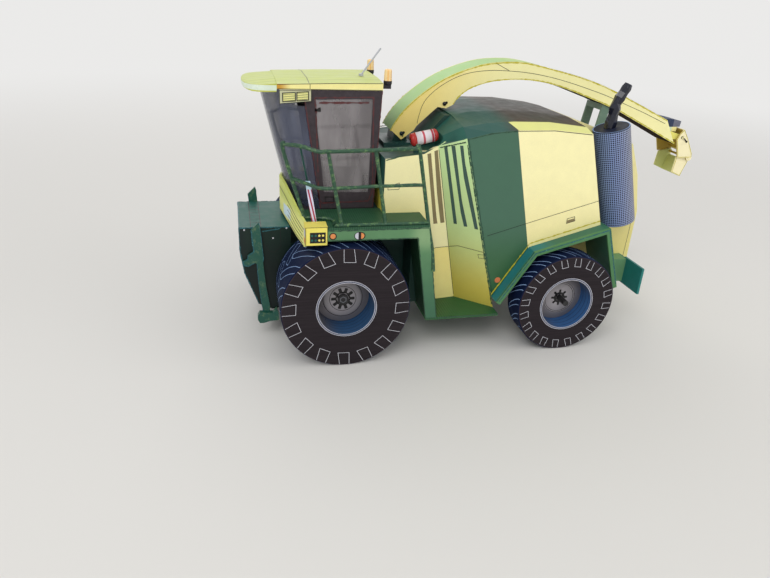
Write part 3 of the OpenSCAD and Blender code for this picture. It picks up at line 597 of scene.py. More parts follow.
intake = {"top": 58.2, "half": 20.0, "rowHalf": 19.6, "rows": (40.8, 36.0), "line": 0.34,
          "rungs": (-11.0, -6.2, -1.4, 3.4, 8.2, 13.0), "rungSlant": 0.2,
          "rivets": ((43.9, 57.0), (30.5, 52.5), (24.0, 57.4), (27.4, 30.0)),
          "cover": [(26.9, 57.2), (35.6, 56.0), (35.3, 50.1), (32.6, 45.9), (29.8, 45.2), (26.8, 48.2),
                    (26.9, 57.2)],
          "edges": [(0.5, 0.5, 4, [(22.6, 58.0), (46.3, 58.0)]),
                    (0.45, 0.6, 5, [(46.3, 57.8), (46.3, 46.2), (44.6, 34.8), (38.4, 17.9)])], "noseX": 46.2}
intakePaint = layers(ink(9, 24, 22), ("z", 46.0, 26.0, ink(12, 38, 30)), ("x", 44.2, 3.0, ink(8, 28, 26)),
                     ("z", 58.05, 0.15, ink(38, 94, 86)))
dress(cardMaterial("intake_card", intakePaint, mottle=0.3), "intake_housing")
dress(brushMaterial("post_green_paint", ink(22, 84, 70), ink(96, 124, 88), 0.75, 0.35), "header_frame")
postSide = 21.4
for side, hand in hands:
    up = 0 if side > 0 else 5  # the right post stands taller
    rows = [(0.45, 0.6, 61, [(40.7, 57.4 + up), (40.4, 53.4 + up), (39.8, 46.2), (42.7, 44.3), (43, 42.2),
                             (45.2, 41.2), (44.8, 39.4), (42.9, 38.8), (39.5, 40.5)]),
            (0.3, 0.5, 62, [(38.6, 39.9), (38.1, 28.6), (37, 17.5), (36.2, 12)]),
            (0.3, 0.5, 63, [(37.3, 60.8 + up), (36.6, 59.3 + up), (35.9, 49.7 + up), (35.4, 42.9),
                            (35.7, 40.8)])]
    draw("post_edges_" + hand, sideLines(rows, postSide, side), tealEdge)
top, half = intake["top"], intake["half"]
ahead, behind = intake["rows"]
lid = [[(x, -intake["rowHalf"], top), (x, intake["rowHalf"], top)] for x in intake["rows"]]
lid += [[(ahead, y, top), (behind, y + intake["rungSlant"], top)] for y in intake["rungs"]]
lines = [ribbon(line, (0, 0, 1), intake["line"]) for line in lid]
edges = [ribbon([(intake["noseX"], -half, top), (intake["noseX"], half, top)], (0, 0, 1), 0.5, 0.5, 6)]
rivets = []
for side in (1, -1):
    rivets += [discOn(x, z, half, side, 0.42, count=14, lift=0.07) for x, z in intake["rivets"]]
    lines.append(onSide(intake["cover"][1:], half, 0.24, side))
    edges += sideLines([(0.55, 0.4, 3, intake["cover"][:2])] + intake["edges"], half, side)
draw("intake_lines", lines, blackInk)
draw("intake_rivets", rivets, whiteInk)
draw("intake_edges", edges, tealEdge)
print("intake dressed")

# Fenders, decks, steps and railings

# the round lamp stands in front, the oval one behind it is half orange and half white about its bar
platform = {"y": 50.0, "top": 67.8, "topY": 49.8, "topEdge": (8.3, -38), "foot": 19.75, "footY": 49.9,
            "footEdge": (-39.9, -77), "roundLamp": (6.0, 63.8), "roundRadius": 1.2, "roundRing": 1.42,
            "ovalLamp": (-6.0, 63.65), "ovalRadii": (2.35, 1.75), "bar": [(-6.0, 62.0), (-6.0, 65.3)],
            "orangeHalf": (-6.6, 63.65), "orangeRadius": 1.45, "whiteHalf": (-5.4, 63.65), "whiteRadius": 1.6,
            "edges": [(0.6, 0.5, 11, [(8.2, 66.3), (-37.8, 66.3)]),
                      (0.35, 0.5, 12, [(-33.2, 61.6), (-39.6, 20.4)]),
                      (0.35, 0.5, 13, [(-38.2, 66.2), (-45.0, 20.4)]),
                      (0.35, 0.5, 14, [(8.2, 61.7), (-33.0, 61.7)])],
            "lit": ink(150, 180, 132), "inside": ink(30, 62, 40)}
fenderFace = layers(ink(60, 104, 78), ("z", 42.0, 44.0, ink(92, 136, 94)))


def fenderSide(tree, mm):  # the upper rear corner is lighter
    at = axes(tree, mm)
    corner = times(tree, rampDown(tree, at["x"], -31.0, 7.0), rampUp(tree, at["z"], 57.0, 8.0), 0.6)
    return mixed(tree, corner, fenderFace(tree, mm), platform["lit"])


fenderPaint = layers(platform["inside"], ("away", 48.9, 0.1, fenderSide))
deckPaint = striped(ink(46, 92, 62), ink(30, 66, 48), 1.05, 0.42, 0.25)
stepPaint = striped(ink(54, 106, 58), ink(30, 70, 46), 1.25, 0.42, 0.25)
dress(cardMaterial("fender_card", fenderPaint, mottle=0.25), "front_fender_")
dress(cardMaterial("deck_card", deckPaint, mottle=0.3), "deck_")
dress(cardMaterial("step_card", stepPaint, mottle=0.25), "step_")
lampOrange = cardMaterial("lamp_orange", ink(228, 146, 84), mottle=0.3)
# the rods' light flecks are painted highlights on the dark green paint
railPaint = brushMaterial("rail_paint", ink(34, 74, 52), ink(112, 150, 88), 0.75, 0.6)

# each rod of the railing is its radius and its points as x, y, z
rail = {"thicker": 1.14, "wander": 0.17, "swell": 0.14, "rods": [
    (0.8, [(-30.6, 49, 102.2), (-21, 49, 101.9), (-12, 49, 101.6), (0, 49, 101.2), (8.4, 49, 101.1),
           (12.2, 49, 101.0), (19.6, 45, 102.5), (26.0, 37.4, 101.6)]),
    (0.8, [(25.4, 37.8, 102.0), (26.4, 37, 100.6), (22.6, 37, 86.6), (17.4, 37.4, 69.2)]),
    (0.72, [(-33.6, 49, 86.1), (-12.6, 49, 85.9), (9, 49, 85.2), (16, 45, 86.0), (22.6, 37, 86.6)]),
    (0.78, [(-38, 49, 68.5), (5.2, 49, 68.5)]),
    (0.78, [(5.2, 49, 68.5), (5.4, 41, 68.5), (17.2, 37, 68.5)]),
    (0.78, [(8.4, 49, 101.1), (2.0, 49, 68.5)]),
    (0.78, [(-12, 49, 101.6), (-17.6, 49, 68.5)]),
    (0.78, [(-30.0, 49, 102.1), (-31.2, 49, 101.4), (-37.6, 49, 68.5), (-40.3, 49.4, 56.0),
            (-41.6, 50.1, 44.8)])]}


def railRun(points, radius, seed):
    # round rod whose radius and centre wander a little along it, as rolled and painted card does
    path = resampled(smoothPath(points, 4) if len(points) > 2 else points, 1.6)
    dice = np.random.default_rng(seed)
    wander = np.convolve(dice.uniform(-1, 1, len(path) + 4), np.ones(5) / 5, "valid")
    middle = path + rail["wander"] * wander[:, None] * [0.4, 0.3, 1.0]
    return tubeMesh(middle, radius * rail["thicker"] * (0.95 + rail["swell"] * wander), 9)


for side, hand in hands:
    rods = [railRun(np.array(points, float) * [1, side, 1], radius, 20 + k)
            for k, (radius, points) in enumerate(rail["rods"])]
    piece = draw("railing_rods_" + hand, rods, railPaint)
    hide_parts("railing_" + hand)
    faceY, topY, footY = platform["y"], side * platform["topY"], side * platform["footY"]
    topEdge = [(x, topY, platform["top"]) for x in platform["topEdge"]]
    footEdge = [(x, footY, platform["foot"]) for x in platform["footEdge"]]
    edges = sideLines(platform["edges"], faceY, side)
    edges.append(ribbon(topEdge, (0, 0, 1), 0.5, 0.5, 15))
    edges.append(ribbon(footEdge, (0, side, 0), 0.5, 0.5, 16, lift=0.18))
    draw("platform_edges_" + hand, edges, greenEdge)
    lamps = [discOn(*platform["roundLamp"], faceY, side, platform["roundRadius"]),
             discOn(*platform["orangeHalf"], faceY, side, platform["orangeRadius"], -1)]
    draw("side_lamps_" + hand, lamps, lampOrange)
    a = circle(28)
    oval = np.stack([np.cos(a), np.sin(a)], 1) * platform["ovalRadii"] + platform["ovalLamp"]
    ring = ringPath(*platform["roundLamp"], side * faceY, platform["roundRing"], 28)
    dark = [ribbon(ring, (0, side, 0), 0.5, closed=True), onSide(oval, faceY, 0.4, side, closed=True),
            onSide(platform["bar"], faceY, 1.2, side, lift=0.13)]
    draw("lamp_outlines_" + hand, dark, blackInk)
    white = discOn(*platform["whiteHalf"], faceY, side, platform["whiteRadius"], 1)
    draw("white_lamps_" + hand, [white], whiteInk)
print("platform dressed")

# Apron and lamp boxes

# each row is the distance from the middle, x, and z of the low and the top edge
apron = {"rows": [(0, 25.6, 60.4, 78.0), (10, 24.1, 59.6, 76.6), (20, 22.2, 58.3, 73.6),
                  (31, 20.3, 57.0, 70.6), (40, 18.6, 56.6, 68.8), (43, 18.1, 56.6, 68.4)],
         "main": ink(240, 240, 150), "pale": ink(222, 240, 250), "shade": ink(204, 212, 110)}


def apronPoint(y, v):  # across the sheet by the rows above, v runs from the low edge to the top edge
    rows = np.array(apron["rows"], float)
    x, low, top = (np.interp(np.abs(y), rows[:, 0], rows[:, k]) for k in (1, 2, 3))
    return np.stack([x, y, low + v * (top - low)], -1)


def apronLine(y, v, side, width, lift):  # a printed line along the sheet at one v, on the side it faces
    slope = np.gradient(apronPoint(y, 0.5), axis=0) * side
    outward = np.stack([slope[:, 1], -slope[:, 0], np.zeros(len(y))], 1)
    return ribbon(apronPoint(y, v), outward, width, lift=lift)


def apronPaint(tree, mm):  # a pale field on each side of the middle, low on the sheet
    at = axes(tree, mm)
    pale = times(tree, rampUp(tree, at["away"], 8.5, 2.0), rampDown(tree, at["away"], 20.5, 3.0),
                 rampDown(tree, at["z"], 66.6, 0.8), rampUp(tree, at["z"], 61.0, 1.0))
    base = mixed(tree, rampUp(tree, at["z"], 68.5, 5.0), apron["main"], apron["shade"])
    return mixed(tree, pale, base, apron["pale"])


dress(cardMaterial("apron_card", apronPaint), "apron")
lines = [apronLine(np.linspace(-42.8, 42.8, 60), v, 1, 0.42, 0.09) for v in (0.7, 0.02)]
lines += [apronLine(np.linspace(16, 41.5, 24) * side, v, side, 0.36, 0.1)
          for side in (1, -1) for v in (0.1, 0.25, 0.4, 0.56)]
draw("apron_lines", lines, blackInk)

lampBox = {"y": 50.6, "nose": 18.1, "noseY": (44.0, 49.6), "dot": 0.52, "dotRows": (64.6, 62.4),
           "panel": [(16.2, 66.0), (9.3, 66.0), (9.3, 61.1), (16.2, 61.1)],
           "rim": [(8.5, 68.3), (18.0, 68.3), (18.0, 59.9), (8.5, 59.9)]}
dress(cardMaterial("lamp_box_card", ink(238, 224, 106), mottle=0.15), "lamp_box_")
lampDots = (("front_", (15.3, 13.7), cardMaterial("lamp_dot_green", ink(34, 96, 84))),
            ("back_", (12.1, 10.5), cardMaterial("lamp_dot_yellow", ink(244, 224, 110))))
nosePatches = (("front_reflector_", 59.9, 62.3, lampOrange), ("front_white_patch_", 62.9, 66.4, whiteInk))
for side, hand in hands:
    faceY = lampBox["y"]
    draw("lamp_panel_" + hand, [sidePatch(lampBox["panel"], faceY, side),
                                onSide(lampBox["rim"], faceY, 0.2, side, closed=True)], blackInk)
    for label, columns, paint in lampDots:
        dots = [discOn(x, z, faceY + 0.05, side, lampBox["dot"]) for x in columns for z in lampBox["dotRows"]]
        draw("lamp_dots_" + label + hand, dots, paint)
    for label, low, high, paint in nosePatches:
        near, far = (side * y for y in lampBox["noseY"])
        corners = [(lampBox["nose"], y, z) for y, z in ((near, low), (far, low), (far, high), (near, high))]
        draw(label + hand, [patch(corners, (1, 0, 0))], paint)
print("apron and lamp boxes dressed")

# Cab

# a slot is x, top and low end at its front and at its rear
cab = {"y": 24.3, "headY": 24.1, "grilleY": 25.5, "roofY": 24.6,
       "doorEdges": [(0.5, 0.8, 31, [(10.8, 118.7), (-15.3, 119.3), (-16.4, 76.8), (-14.5, 71.4), (7.5, 70.9),
                                     (9.0, 73.3), (10.4, 113.6), (10.8, 118.7)]),
                     (0.45, 0.7, 33, [(8.2, 68.2), (15.9, 121.9)]),
                     (0.4, 0.7, 34, [(-16.8, 68.2), (-19.2, 121.9)])],
       "headEdge": [(0.75, 0.45, 35, [(9.0, 116.6), (-13.4, 116.9)])],
       "doorMarks": [(1.5, 0.5, 37, [(8.3, 113.7), (10.9, 113.5)]),
                     (0.4, 0.4, 38, [(8.2, 68.1), (-16.6, 68.1)])],
       "lock": [(2.0, 71.2), (2.0, 73.6), (6.0, 73.8), (6.0, 71.4)],
       "grille": [(12.6, 117.5), (26.2, 116.3), (26.2, 121.9), (12.6, 121.9)],
       "slots": (((24.9, 120.7, 117.2), (19.5, 121.0, 117.5)), ((18.8, 121.1, 117.6), (13.8, 121.4, 118.0))),
       "slats": 4, "slatStep": 0.75, "slatFall": 0.25,
       "roofLines": [(0.2, 0, 0, [(27.0, 122.35), (-19.2, 122.35)]),
                     (0.24, 0, 0, [(27.0, 124.15), (2.0, 124.95), (-19.2, 125.25)]),
                     (0.22, 0, 0, [(13.0, 122.3), (13.0, 124.7)])],
       "seam": [(13.4, 24.5, 124.73), (13.2, 12.3, 125.63), (13.2, -12.3, 125.63), (13.4, -24.5, 124.73)]}
frameGrain = clouded(ink(48, 42, 46), ink(74, 66, 70), 0.5, 5.0)
framePaint = layers(ink(52, 47, 50), ("away", 23.4, 0.3, frameGrain))
dress(cardMaterial("cab_frame_card", framePaint, mottle=0.25, specular=0.2), "cab_frame")


def foilMaterial(name, tint, cover, low, high):
    # clear film: mostly see-through, its cover and gloss vary in soft smears
    material, tree, shader, mm = blankMaterial(name)
    stretch = addNode(tree, "Mapping", {"Vector": mm, "Scale": (0.12, 0.12, 0.035),
                                                  "Rotation": (0, 0.25, 0)})
    smear = noise(tree, stretch.outputs[0], 1.0, 3.0)
    level = addNode(tree, "MapRange", {0: smear, 1: 0.35, 2: 0.7, 3: low, 4: high})
    linkAll(tree, shader.inputs, {"Alpha": level.outputs[0], "Base Color": mixed(tree, smear, tint, cover)})
    shader.inputs["Roughness"].default_value = 0.08
    shader.inputs["Specular IOR Level"].default_value = 0.9
    return material


# the windscreen's bluish cover colour is partly smears on the film and partly a painted reflection
dress(foilMaterial("windscreen_foil", ink(64, 62, 78), ink(78, 90, 120), 0.42, 0.7), "cab_glass")
dress(foilMaterial("door_foil", ink(112, 106, 108), ink(160, 154, 156), 0.5, 0.75), "door_glass_")

roof = {"top": ink(196, 206, 118), "rib": ink(112, 118, 62), "side": ink(246, 236, 158),
        "sideFront": ink(204, 150, 48), "visor": ink(196, 200, 84), "visorPale": ink(225, 238, 220)}


def roofTop(tree, mm):  # thin ribs along the roof that waver a little
    at = axes(tree, mm)
    across = calc(tree, "MULTIPLY_ADD", noise(tree, mm, 0.05, 1.0), 2.4, at["y"])
    ribs = times(tree, stripes(tree, across, 5.2, 0.07, 0.04), rampDown(tree, at["away"], 21.0, 0.4), 0.6)
    return mixed(tree, ribs, roof["top"], roof["rib"])


visorPaint = layers(roof["visor"], ("z", 121.1, 0.4, roof["visorPale"]), ("z", 123.4, 0.4, roof["visor"]),
                    ("line", ((27.3, 124.0), (41.8, 123.0)), 0.1, roofTop))
roofPaint = layers(roofTop, ("away", 24.5, 0.08, layers(roof["side"], ("x", 23.5, 6.0, roof["sideFront"]))),
                   ("x", 27.25, 0.05, visorPaint))
dress(cardMaterial("roof_card", roofPaint, mottle=0.14), "roof")
dress(cardMaterial("grille_card", ink(196, 196, 158), mottle=0.2), "air_grille_")
grilleYellow = cardMaterial("grille_field", ink(232, 230, 150), mottle=0.15)
dress(brushMaterial("aerial_silver", ink(186, 188, 196), ink(140, 140, 150), 0.4, 1.6), "antenna")

for side, hand in hands:
    grilleY = cab["grilleY"]
    brown = sideLines(cab["doorEdges"], cab["y"], side) + sideLines(cab["headEdge"], cab["headY"], side)
    draw("door_edges_" + hand, brown, brownEdge)
    black = [onSide(cab["lock"], cab["y"], 0.5, side, 0.7, 36, closed=True)]
    draw("door_marks_" + hand, black + sideLines(cab["doorMarks"], cab["y"], side), blackInk)
    lines, slats = [onSide(cab["grille"], grilleY, 0.2, side, closed=True)], []
    for (x0, top0, low0), (x1, top1, low1) in cab["slots"]:
        field = [(x0, top0), (x1, top1), (x1, low1), (x0, low0)]
        slats.append(sidePatch(field, grilleY, side, lift=0.05))
        lines.append(onSide(field, grilleY, 0.4, side, lift=0.1, closed=True))
        for k in range(cab["slats"]):
            z = low0 + cab["slatStep"] * (k + 1)
            slat = [(x0, z), (x1, min(z - cab["slatFall"], top1 - 0.2))]
            lines.append(onSide(slat, grilleY, 0.16, side, lift=0.1))
    draw("grille_fields_" + hand, slats, grilleYellow)
    draw("roof_side_lines_" + hand, lines + sideLines(cab["roofLines"], cab["roofY"], side), blackInk)
draw("roof_seam", [ribbon(cab["seam"], (0, 0, 1), 0.25, lift=0.12)], blackInk)

# profiles as height and radius
beacon = {"x": -22.4, "y": 20.0, "armX": (-23.8, -19.4), "armHalf": 1.2, "armZ": (122.6, 124.4),
          "lens": [(126.0, 1.2), (126.0, 1.75), (130.4, 1.62), (130.9, 1.35), (131.0, 0.7)],
          "base": [(124.2, 1.3), (124.3, 1.7), (124.7, 1.9), (126.0, 1.9), (126.05, 1.5)],
          "boxFaces": [(0, 1, 3, 2), (4, 6, 7, 5), (0, 4, 5, 1), (2, 3, 7, 6), (0, 2, 6, 4), (1, 5, 7, 3)]}
beaconPaint = striped(ink(242, 190, 116), ink(250, 220, 166), 1.7, 0.5, 0.5)
beaconAmber = cardMaterial("beacon_amber", beaconPaint, gloss=0.3)
beaconBlack = cardMaterial("beacon_base", ink(34, 32, 40), mottle=0.4, gloss=0.3)
for side, hand in hands:
    place = (beacon["x"], side * beacon["y"], 0)
    dome = lathe(place, (0, 0, 1), beacon["lens"], 32)
    lens = draw("beacon_lens_" + hand, [dome], beaconAmber, smooth=False)
    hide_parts("beacon_" + hand)
    arm = np.array([(x, side * beacon["y"] + q, z) for x in beacon["armX"]
                    for q in (-beacon["armHalf"], beacon["armHalf"]) for z in beacon["armZ"]])
    foot = [lathe(place, (0, 0, 1), beacon["base"], 32), (arm, beacon["boxFaces"])]
    draw("beacon_foot_" + hand, foot, beaconBlack, smooth=False)


def boardStripes(tree, mm):  # red stripes at equal steps of x - 0.22 z
    at = axes(tree, mm)
    red = stripes(tree, calc(tree, "MULTIPLY_ADD", at["z"], -0.22, at["x"]), 1.5, 0.46, 0.08)
    return mixed(tree, red, ink(222, 222, 244), ink(172, 52, 80))


boardPaint = layers(boardStripes, ("z", 82.8, 0.2, ink(196, 226, 240)), ("z", 86.6, 0.2, ink(20, 70, 60)))
dress(cardMaterial("warning_board_card", boardPaint, mottle=0.1), "warning_board_")
print("cab dressed")

# Housing, vent panels and bonnet

body = {"cream": ink(252, 244, 186), "teal": ink(38, 84, 76), "houseY": 32.0, "hoodY": 43.0, "tailY": 23.0,
        "fenderY": 50.0, "fenderEdgeY": 49.8}
houseCream = layers(ink(248, 230, 142), ("z", 66.0, 40.0, body["cream"]))
houseSide = layers(ink(18, 52, 44), ("z", 62.0, 1.0, houseCream))
houseFront = layers(ink(226, 210, 80), ("z", 77.0, 1.0, body["teal"]))
housePaint = layers(ink(34, 66, 58), ("away", 31.8, 0.1, houseSide), ("x", -20.3, 0.1, houseFront))
dress(cardMaterial("housing_card", housePaint, mottle=0.08), "rear_housing")

# slots are corners on their facet as shares of its width and height
vent = {"low": [(-50, 30, 20), (-61, 28.5, 20), (-77.2, 43, 20)],
        "top": [(-38.6, 32, 95.6), (-44.8, 32, 99.2), (-54.4, 43, 104.8)],
        "slotsFront": [[(0.19, 0.992), (0.45, 0.985), (0.585, 0.522), (0.32, 0.53)],
                       [(0.70, 0.985), (0.955, 0.98), (0.925, 0.526), (0.73, 0.524)]],
        "slotsBack": [[(0.2, 0.985), (0.31, 0.985), (0.4, 0.504), (0.28, 0.51)],
                      [(0.45, 0.985), (0.58, 0.98), (0.68, 0.495), (0.595, 0.492)],
                      [(0.74, 0.975), (0.85, 0.97), (0.932, 0.492), (0.847, 0.491)]],
        "thick": 0.35, "topLine": ((-54.4, 105.1), (-38.6, 95.9)), "fold": ((-61.0, 20), (-44.8, 99.2))}


def facetPoint(panel, uv, side):
    # u runs across and v up a four-sided facet folded along its diagonal: above the fold
    # low + (v - u)(top - low) + u (far top - low), below it low + v (far top - low) + (u - v)(far low - low)
    u, v = np.asarray(uv, float).T[:, :, None]
    low, farLow = np.array(vent["low"][panel:panel + 2], float)
    top, farTop = np.array(vent["top"][panel:panel + 2], float)
    upper = low + (v - u) * (top - low) + u * (farTop - low)
    lower = low + v * (farTop - low) + (u - v) * (farLow - low)
    normalUp, normalLow = unit(np.cross(farTop - low, top - low)), unit(np.cross(farLow - low, farTop - low))
    return np.where(v >= u, upper, lower) * [1, side, 1], np.where(v >= u, normalUp, normalLow) * [1, side, 1]


def facetPatch(panel, corners, side, lift=0.05):
    # the filled four-sided shape as a fine grid, so that it follows the facet's fold
    a, b, c, d = np.array(corners, float)
    s, t = np.linspace(0, 1, 5)[None, :, None], np.linspace(0, 1, 24)[:, None, None]
    uv = ((1 - t) * ((1 - s) * a + s * b) + t * ((1 - s) * d + s * c)).reshape(-1, 2)
    points, normals = facetPoint(panel, uv, side)
    p = (points + lift * normals).reshape(24, 5, 3)
    facing = np.dot(np.cross(p[1, 0] - p[0, 0], p[0, 1] - p[0, 0]), normals[0])
    faces = gridFaces(24, 5)
    return p, faces if facing > 0 else faces[:, ::-1]


def facetLine(panel, uv, side, width, *wander):
    return ribbon(*facetPoint(panel, resampled(uv, 0.02), side), width, *wander)


def offPlane(tree, folded, corners, depth):
    # 1 where a point, its y made positive, is farther than depth from the plane through three corners
    a, b, c = np.array(corners, float)
    n = unit(np.cross(b - a, c - a))
    reach = calc(tree, "SUBTRACT", vectorCalc(tree, "DOT_PRODUCT", folded, tuple(n)), float(n @ a))
    return rampUp(tree, calc(tree, "ABSOLUTE", reach), depth, 0.15)


ventCream = layers(ink(255, 238, 150), ("z", 48.6, 0.3, body["cream"]))
ventFront = layers(ink(255, 242, 158), ("z", 34.0, 30.0, ventCream))
ventBack = layers(ink(206, 190, 84), ("z", 46.0, 44.0, ink(200, 226, 158)),
                  ("z", 88.0, 30.0, ink(206, 236, 172)))
ventOuter = layers(ventFront, ("line", vent["fold"], 0.2, ventBack))
ventInner = layers(ink(16, 24, 22), ("z", 93.5, 1.0, clouded(ink(14, 50, 48), ink(44, 112, 98), 0.08, 2.0)))


def ventPaint(tree, mm):  # the inner paint is on all that is farther than the sheet's thickness from its face
    at = axes(tree, mm)
    folded = addNode(tree, "CombineXYZ", {0: at["x"], 1: at["away"], 2: at["z"]}).outputs[0]
    low, top = vent["low"], vent["top"]
    planes = [corners for k in (0, 1)
              for corners in ((low[k], top[k + 1], top[k]), (low[k], low[k + 1], top[k + 1]))]
    within = times(tree, *[offPlane(tree, folded, corners, vent["thick"]) for corners in planes])
    within = calc(tree, "MAXIMUM", within, beyond(tree, mm, *vent["topLine"], 0.15))
    return mixed(tree, within, ventOuter(tree, mm), ventInner(tree, mm))


dress(cardMaterial("vent_card", ventPaint, mottle=0.1), "vent_panel_")
slotBrown = cardMaterial("slot_brown", ink(134, 120, 84), mottle=0.35)
slotDark = cardMaterial("slot_dark", ink(66, 92, 84), mottle=0.4)

hoodMiddle = layers(clouded(ink(44, 58, 48), ink(80, 54, 46), 0.05, 2.0), ("x", -76.0, 12.0, body["teal"]))
hoodBand = layers(ink(54, 98, 62), ("z", 54.0, 30.0, ink(68, 106, 86)))
hoodCream = layers(ink(240, 228, 160), ("z", 66.0, 50.0, body["cream"]))
hoodSide = layers(hoodBand, ("line", ((-91.5, 52), (-78.0, 109)), 0.2, hoodCream))


def hoodTop(tree, mm):  # a light strip along each edge, behind a slanted line
    at = axes(tree, mm)
    rear = rampDown(tree, calc(tree, "MULTIPLY_ADD", at["away"], 0.385, at["x"]), -61.95, 0.3)
    strip = times(tree, rampUp(tree, at["away"], 36.0, 0.3), rear)
    return mixed(tree, strip, hoodMiddle(tree, mm), ink(226, 226, 140))


hoodPaint = layers(hoodTop, ("away", 42.9, 0.1, hoodSide))
tailPaint = layers(ink(236, 222, 140), ("z", 62.0, 50.0, ink(244, 234, 168)))
rearFenderTop = layers(ink(56, 108, 88), ("x", -100.0, 10.0, ink(34, 118, 122)))
rearFenderPaint = layers(rearFenderTop, ("away", 48.7, 0.1, ink(78, 128, 82)))
dress(cardMaterial("bonnet_card", hoodPaint, mottle=0.1, gloss=0.42), "hood")
dress(cardMaterial("tail_card", tailPaint, mottle=0.1), "tail_body")
dress(cardMaterial("rear_fender_card", rearFenderPaint, mottle=0.3), "rear_fender_")
orangeDot = cardMaterial("orange_dot", ink(214, 122, 76), mottle=0.2)

# for lines on a facet its panel comes first, and their points are shares of the panel
printed = {
    "facetLines": [(0, 0.25, 0, 0, [(0.02, 0.362), (0.98, 0.362)]),
                   (1, 0.25, 0, 0, [(0.02, 0.362), (0.98, 0.355)]),
                   (1, 0.2, 0, 0, [(0.83, 0.334), (0.975, 0.338), (0.96, 0.315), (0.835, 0.311),
                                   (0.83, 0.334)]),
                   (1, 0.25, 0, 0, [(0.01, 0.02), (0.01, 0.98)])],
    "facetEdges": [(1, 0.5, 0.6, 41, [(0.985, 0.02), (0.985, 0.97)]),
                   (1, 0.5, 0.5, 44, [(0.05, 0.99), (0.95, 0.985)])],
    "hoodLines": [(0.25, 0, 0, [(-69.4, 58.7), (-88.1, 64.2), (-125.2, 74.9)]),
                  (0.3, 0, 0, [(-78.0, 108.4), (-96, 108.6), (-115.4, 106.8)])],
    "tailLines": [(0.22, 0, 0, [(-159.6, 60.0), (-159.8, 51.4), (-159.4, 35.6), (-150.0, 35.8)])],
    "hoodEdges": [(0.6, 0.6, 42, [(-55.0, 104.4), (-76.8, 24.0)]),
                  (0.5, 0.5, 43, [(-54.6, 104.6), (-66, 107.3), (-78.0, 108.4)])],
    "houseEdges": [(0.5, 0.6, 48, [(-20.6, 92.8), (-27.0, 94.6), (-34.9, 95.9)])],
    "fenderEdges": [(0.5, 0.6, 46, [(-77.0, 26.6), (-92.6, 51.4), (-130.0, 62.2), (-139.8, 33)])],
    "houseLoop": [(-22.1, 80.7), (-27.4, 82.2), (-27.4, 79.2), (-22.1, 79.0)],
    "handleLoop": [(-110.0, 66.2), (-113.8, 67.2), (-114.3, 65.0), (-110.0, 63.8)],
    "handle": [(-110.2, 65.4), (-113.7, 66.3), (-114.1, 65.0), (-110.2, 64.0)],
    "footLine": [(-75.4, 27.4), (-92.2, 54.0), (-128.2, 64.6)],
    "frontEdge": [(-75.9, 26.6), (-91.9, 52.2)], "frontEdgeFaces": (0.854, 0, 0.52), "dot": (-77.8, 35.1)}


def facetLines(rows, side):
    return [facetLine(panel, points, side, width, rough, seed) for panel, width, rough, seed, points in rows]


for side, hand in hands:
    houseY, hoodY, tailY, fenderY = (body[k] for k in ("houseY", "hoodY", "tailY", "fenderY"))
    slots = [facetPatch(0, corners, side) for corners in vent["slotsFront"]]
    draw("vent_slots_front_" + hand, slots, slotBrown)
    slots = [facetPatch(1, corners, side) for corners in vent["slotsBack"]]
    draw("vent_slots_back_" + hand, slots, slotDark)
    lines = facetLines(printed["facetLines"], side) + sideLines(printed["hoodLines"], hoodY, side)
    lines += sideLines(printed["tailLines"], tailY, side)
    lines += [onSide(printed["houseLoop"], houseY, 0.22, side, closed=True),
              onSide(printed["handleLoop"], hoodY, 0.25, side, closed=True)]
    draw("panel_lines_" + hand, lines, blackInk)
    draw("bonnet_handle_" + hand, [sidePatch(printed["handle"], hoodY, side)], slotBrown)
    draw("side_dot_" + hand, [discOn(*printed["dot"], hoodY, side, 1.5)], orangeDot)
    green = facetLines(printed["facetEdges"], side) + sideLines(printed["hoodEdges"], hoodY, side)
    draw("bonnet_edges_" + hand, green + sideLines(printed["houseEdges"], houseY, side), greenEdge)
    yellow = onSide(printed["footLine"], hoodY, 0.55, side, 0.6, 45, lift=0.12)
    draw("fender_foot_lines_" + hand, [yellow], yellowEdge)
    edge = sidePath(printed["frontEdge"], body["fenderEdgeY"], side)
    edge = ribbon(edge, printed["frontEdgeFaces"], 0.6, 0.6, 47, lift=0.1)
    draw("rear_fender_edges_" + hand, sideLines(printed["fenderEdges"], fenderY, side) + [edge], tealEdge)
print("body panels dressed")

# Exhaust, bottle, stand and turret

shield = {"low": np.array([-145.0, 31.5, 60.7]), "top": np.array([-131.4, 31.5, 108.1]), "radius": 8.8,
          "cell": 0.98, "wire": 0.26, "cells": (ink(50, 48, 56), ink(14, 22, 54)),
          "wires": (ink(200, 198, 202), ink(146, 168, 216)), "end": ink(26, 32, 52)}
shieldLength = float(np.linalg.norm(shield["top"] - shield["low"]))
shieldAxis = unit(shield["top"] - shield["low"])
shieldAcross = np.cross([0, 1.0, 0], shieldAxis)


def meshPaint(tree, mm):
    # wires at equal steps along the leaning cylinder, whose axis runs from low to top, and round it, where
    # the way round is the radius times the angle about the axis
    local = vectorCalc(tree, "SUBTRACT", mm, tuple(shield["low"]))
    along, over, out = (vectorCalc(tree, "DOT_PRODUCT", local, tuple(v))
                        for v in (shieldAxis, shieldAcross, (0.0, 1.0, 0.0)))
    turn = times(tree, calc(tree, "ARCTAN2", over, out), shield["radius"])
    rings, bars = (stripes(tree, v, shield["cell"], shield["wire"], 0.1) for v in (along, turn))
    wires = calc(tree, "MAXIMUM", rings, bars)
    # grey cells and white wires on one side round the cylinder, navy cells and pale blue wires on the other:
    # painted shading
    light = rampUp(tree, turn, -4.0, 22.0)
    net = mixed(tree, wires, mixed(tree, light, *shield["cells"]), mixed(tree, light, *shield["wires"]))
    return mixed(tree, rampUp(tree, along, shieldLength - 0.25, 0.2), net, shield["end"])


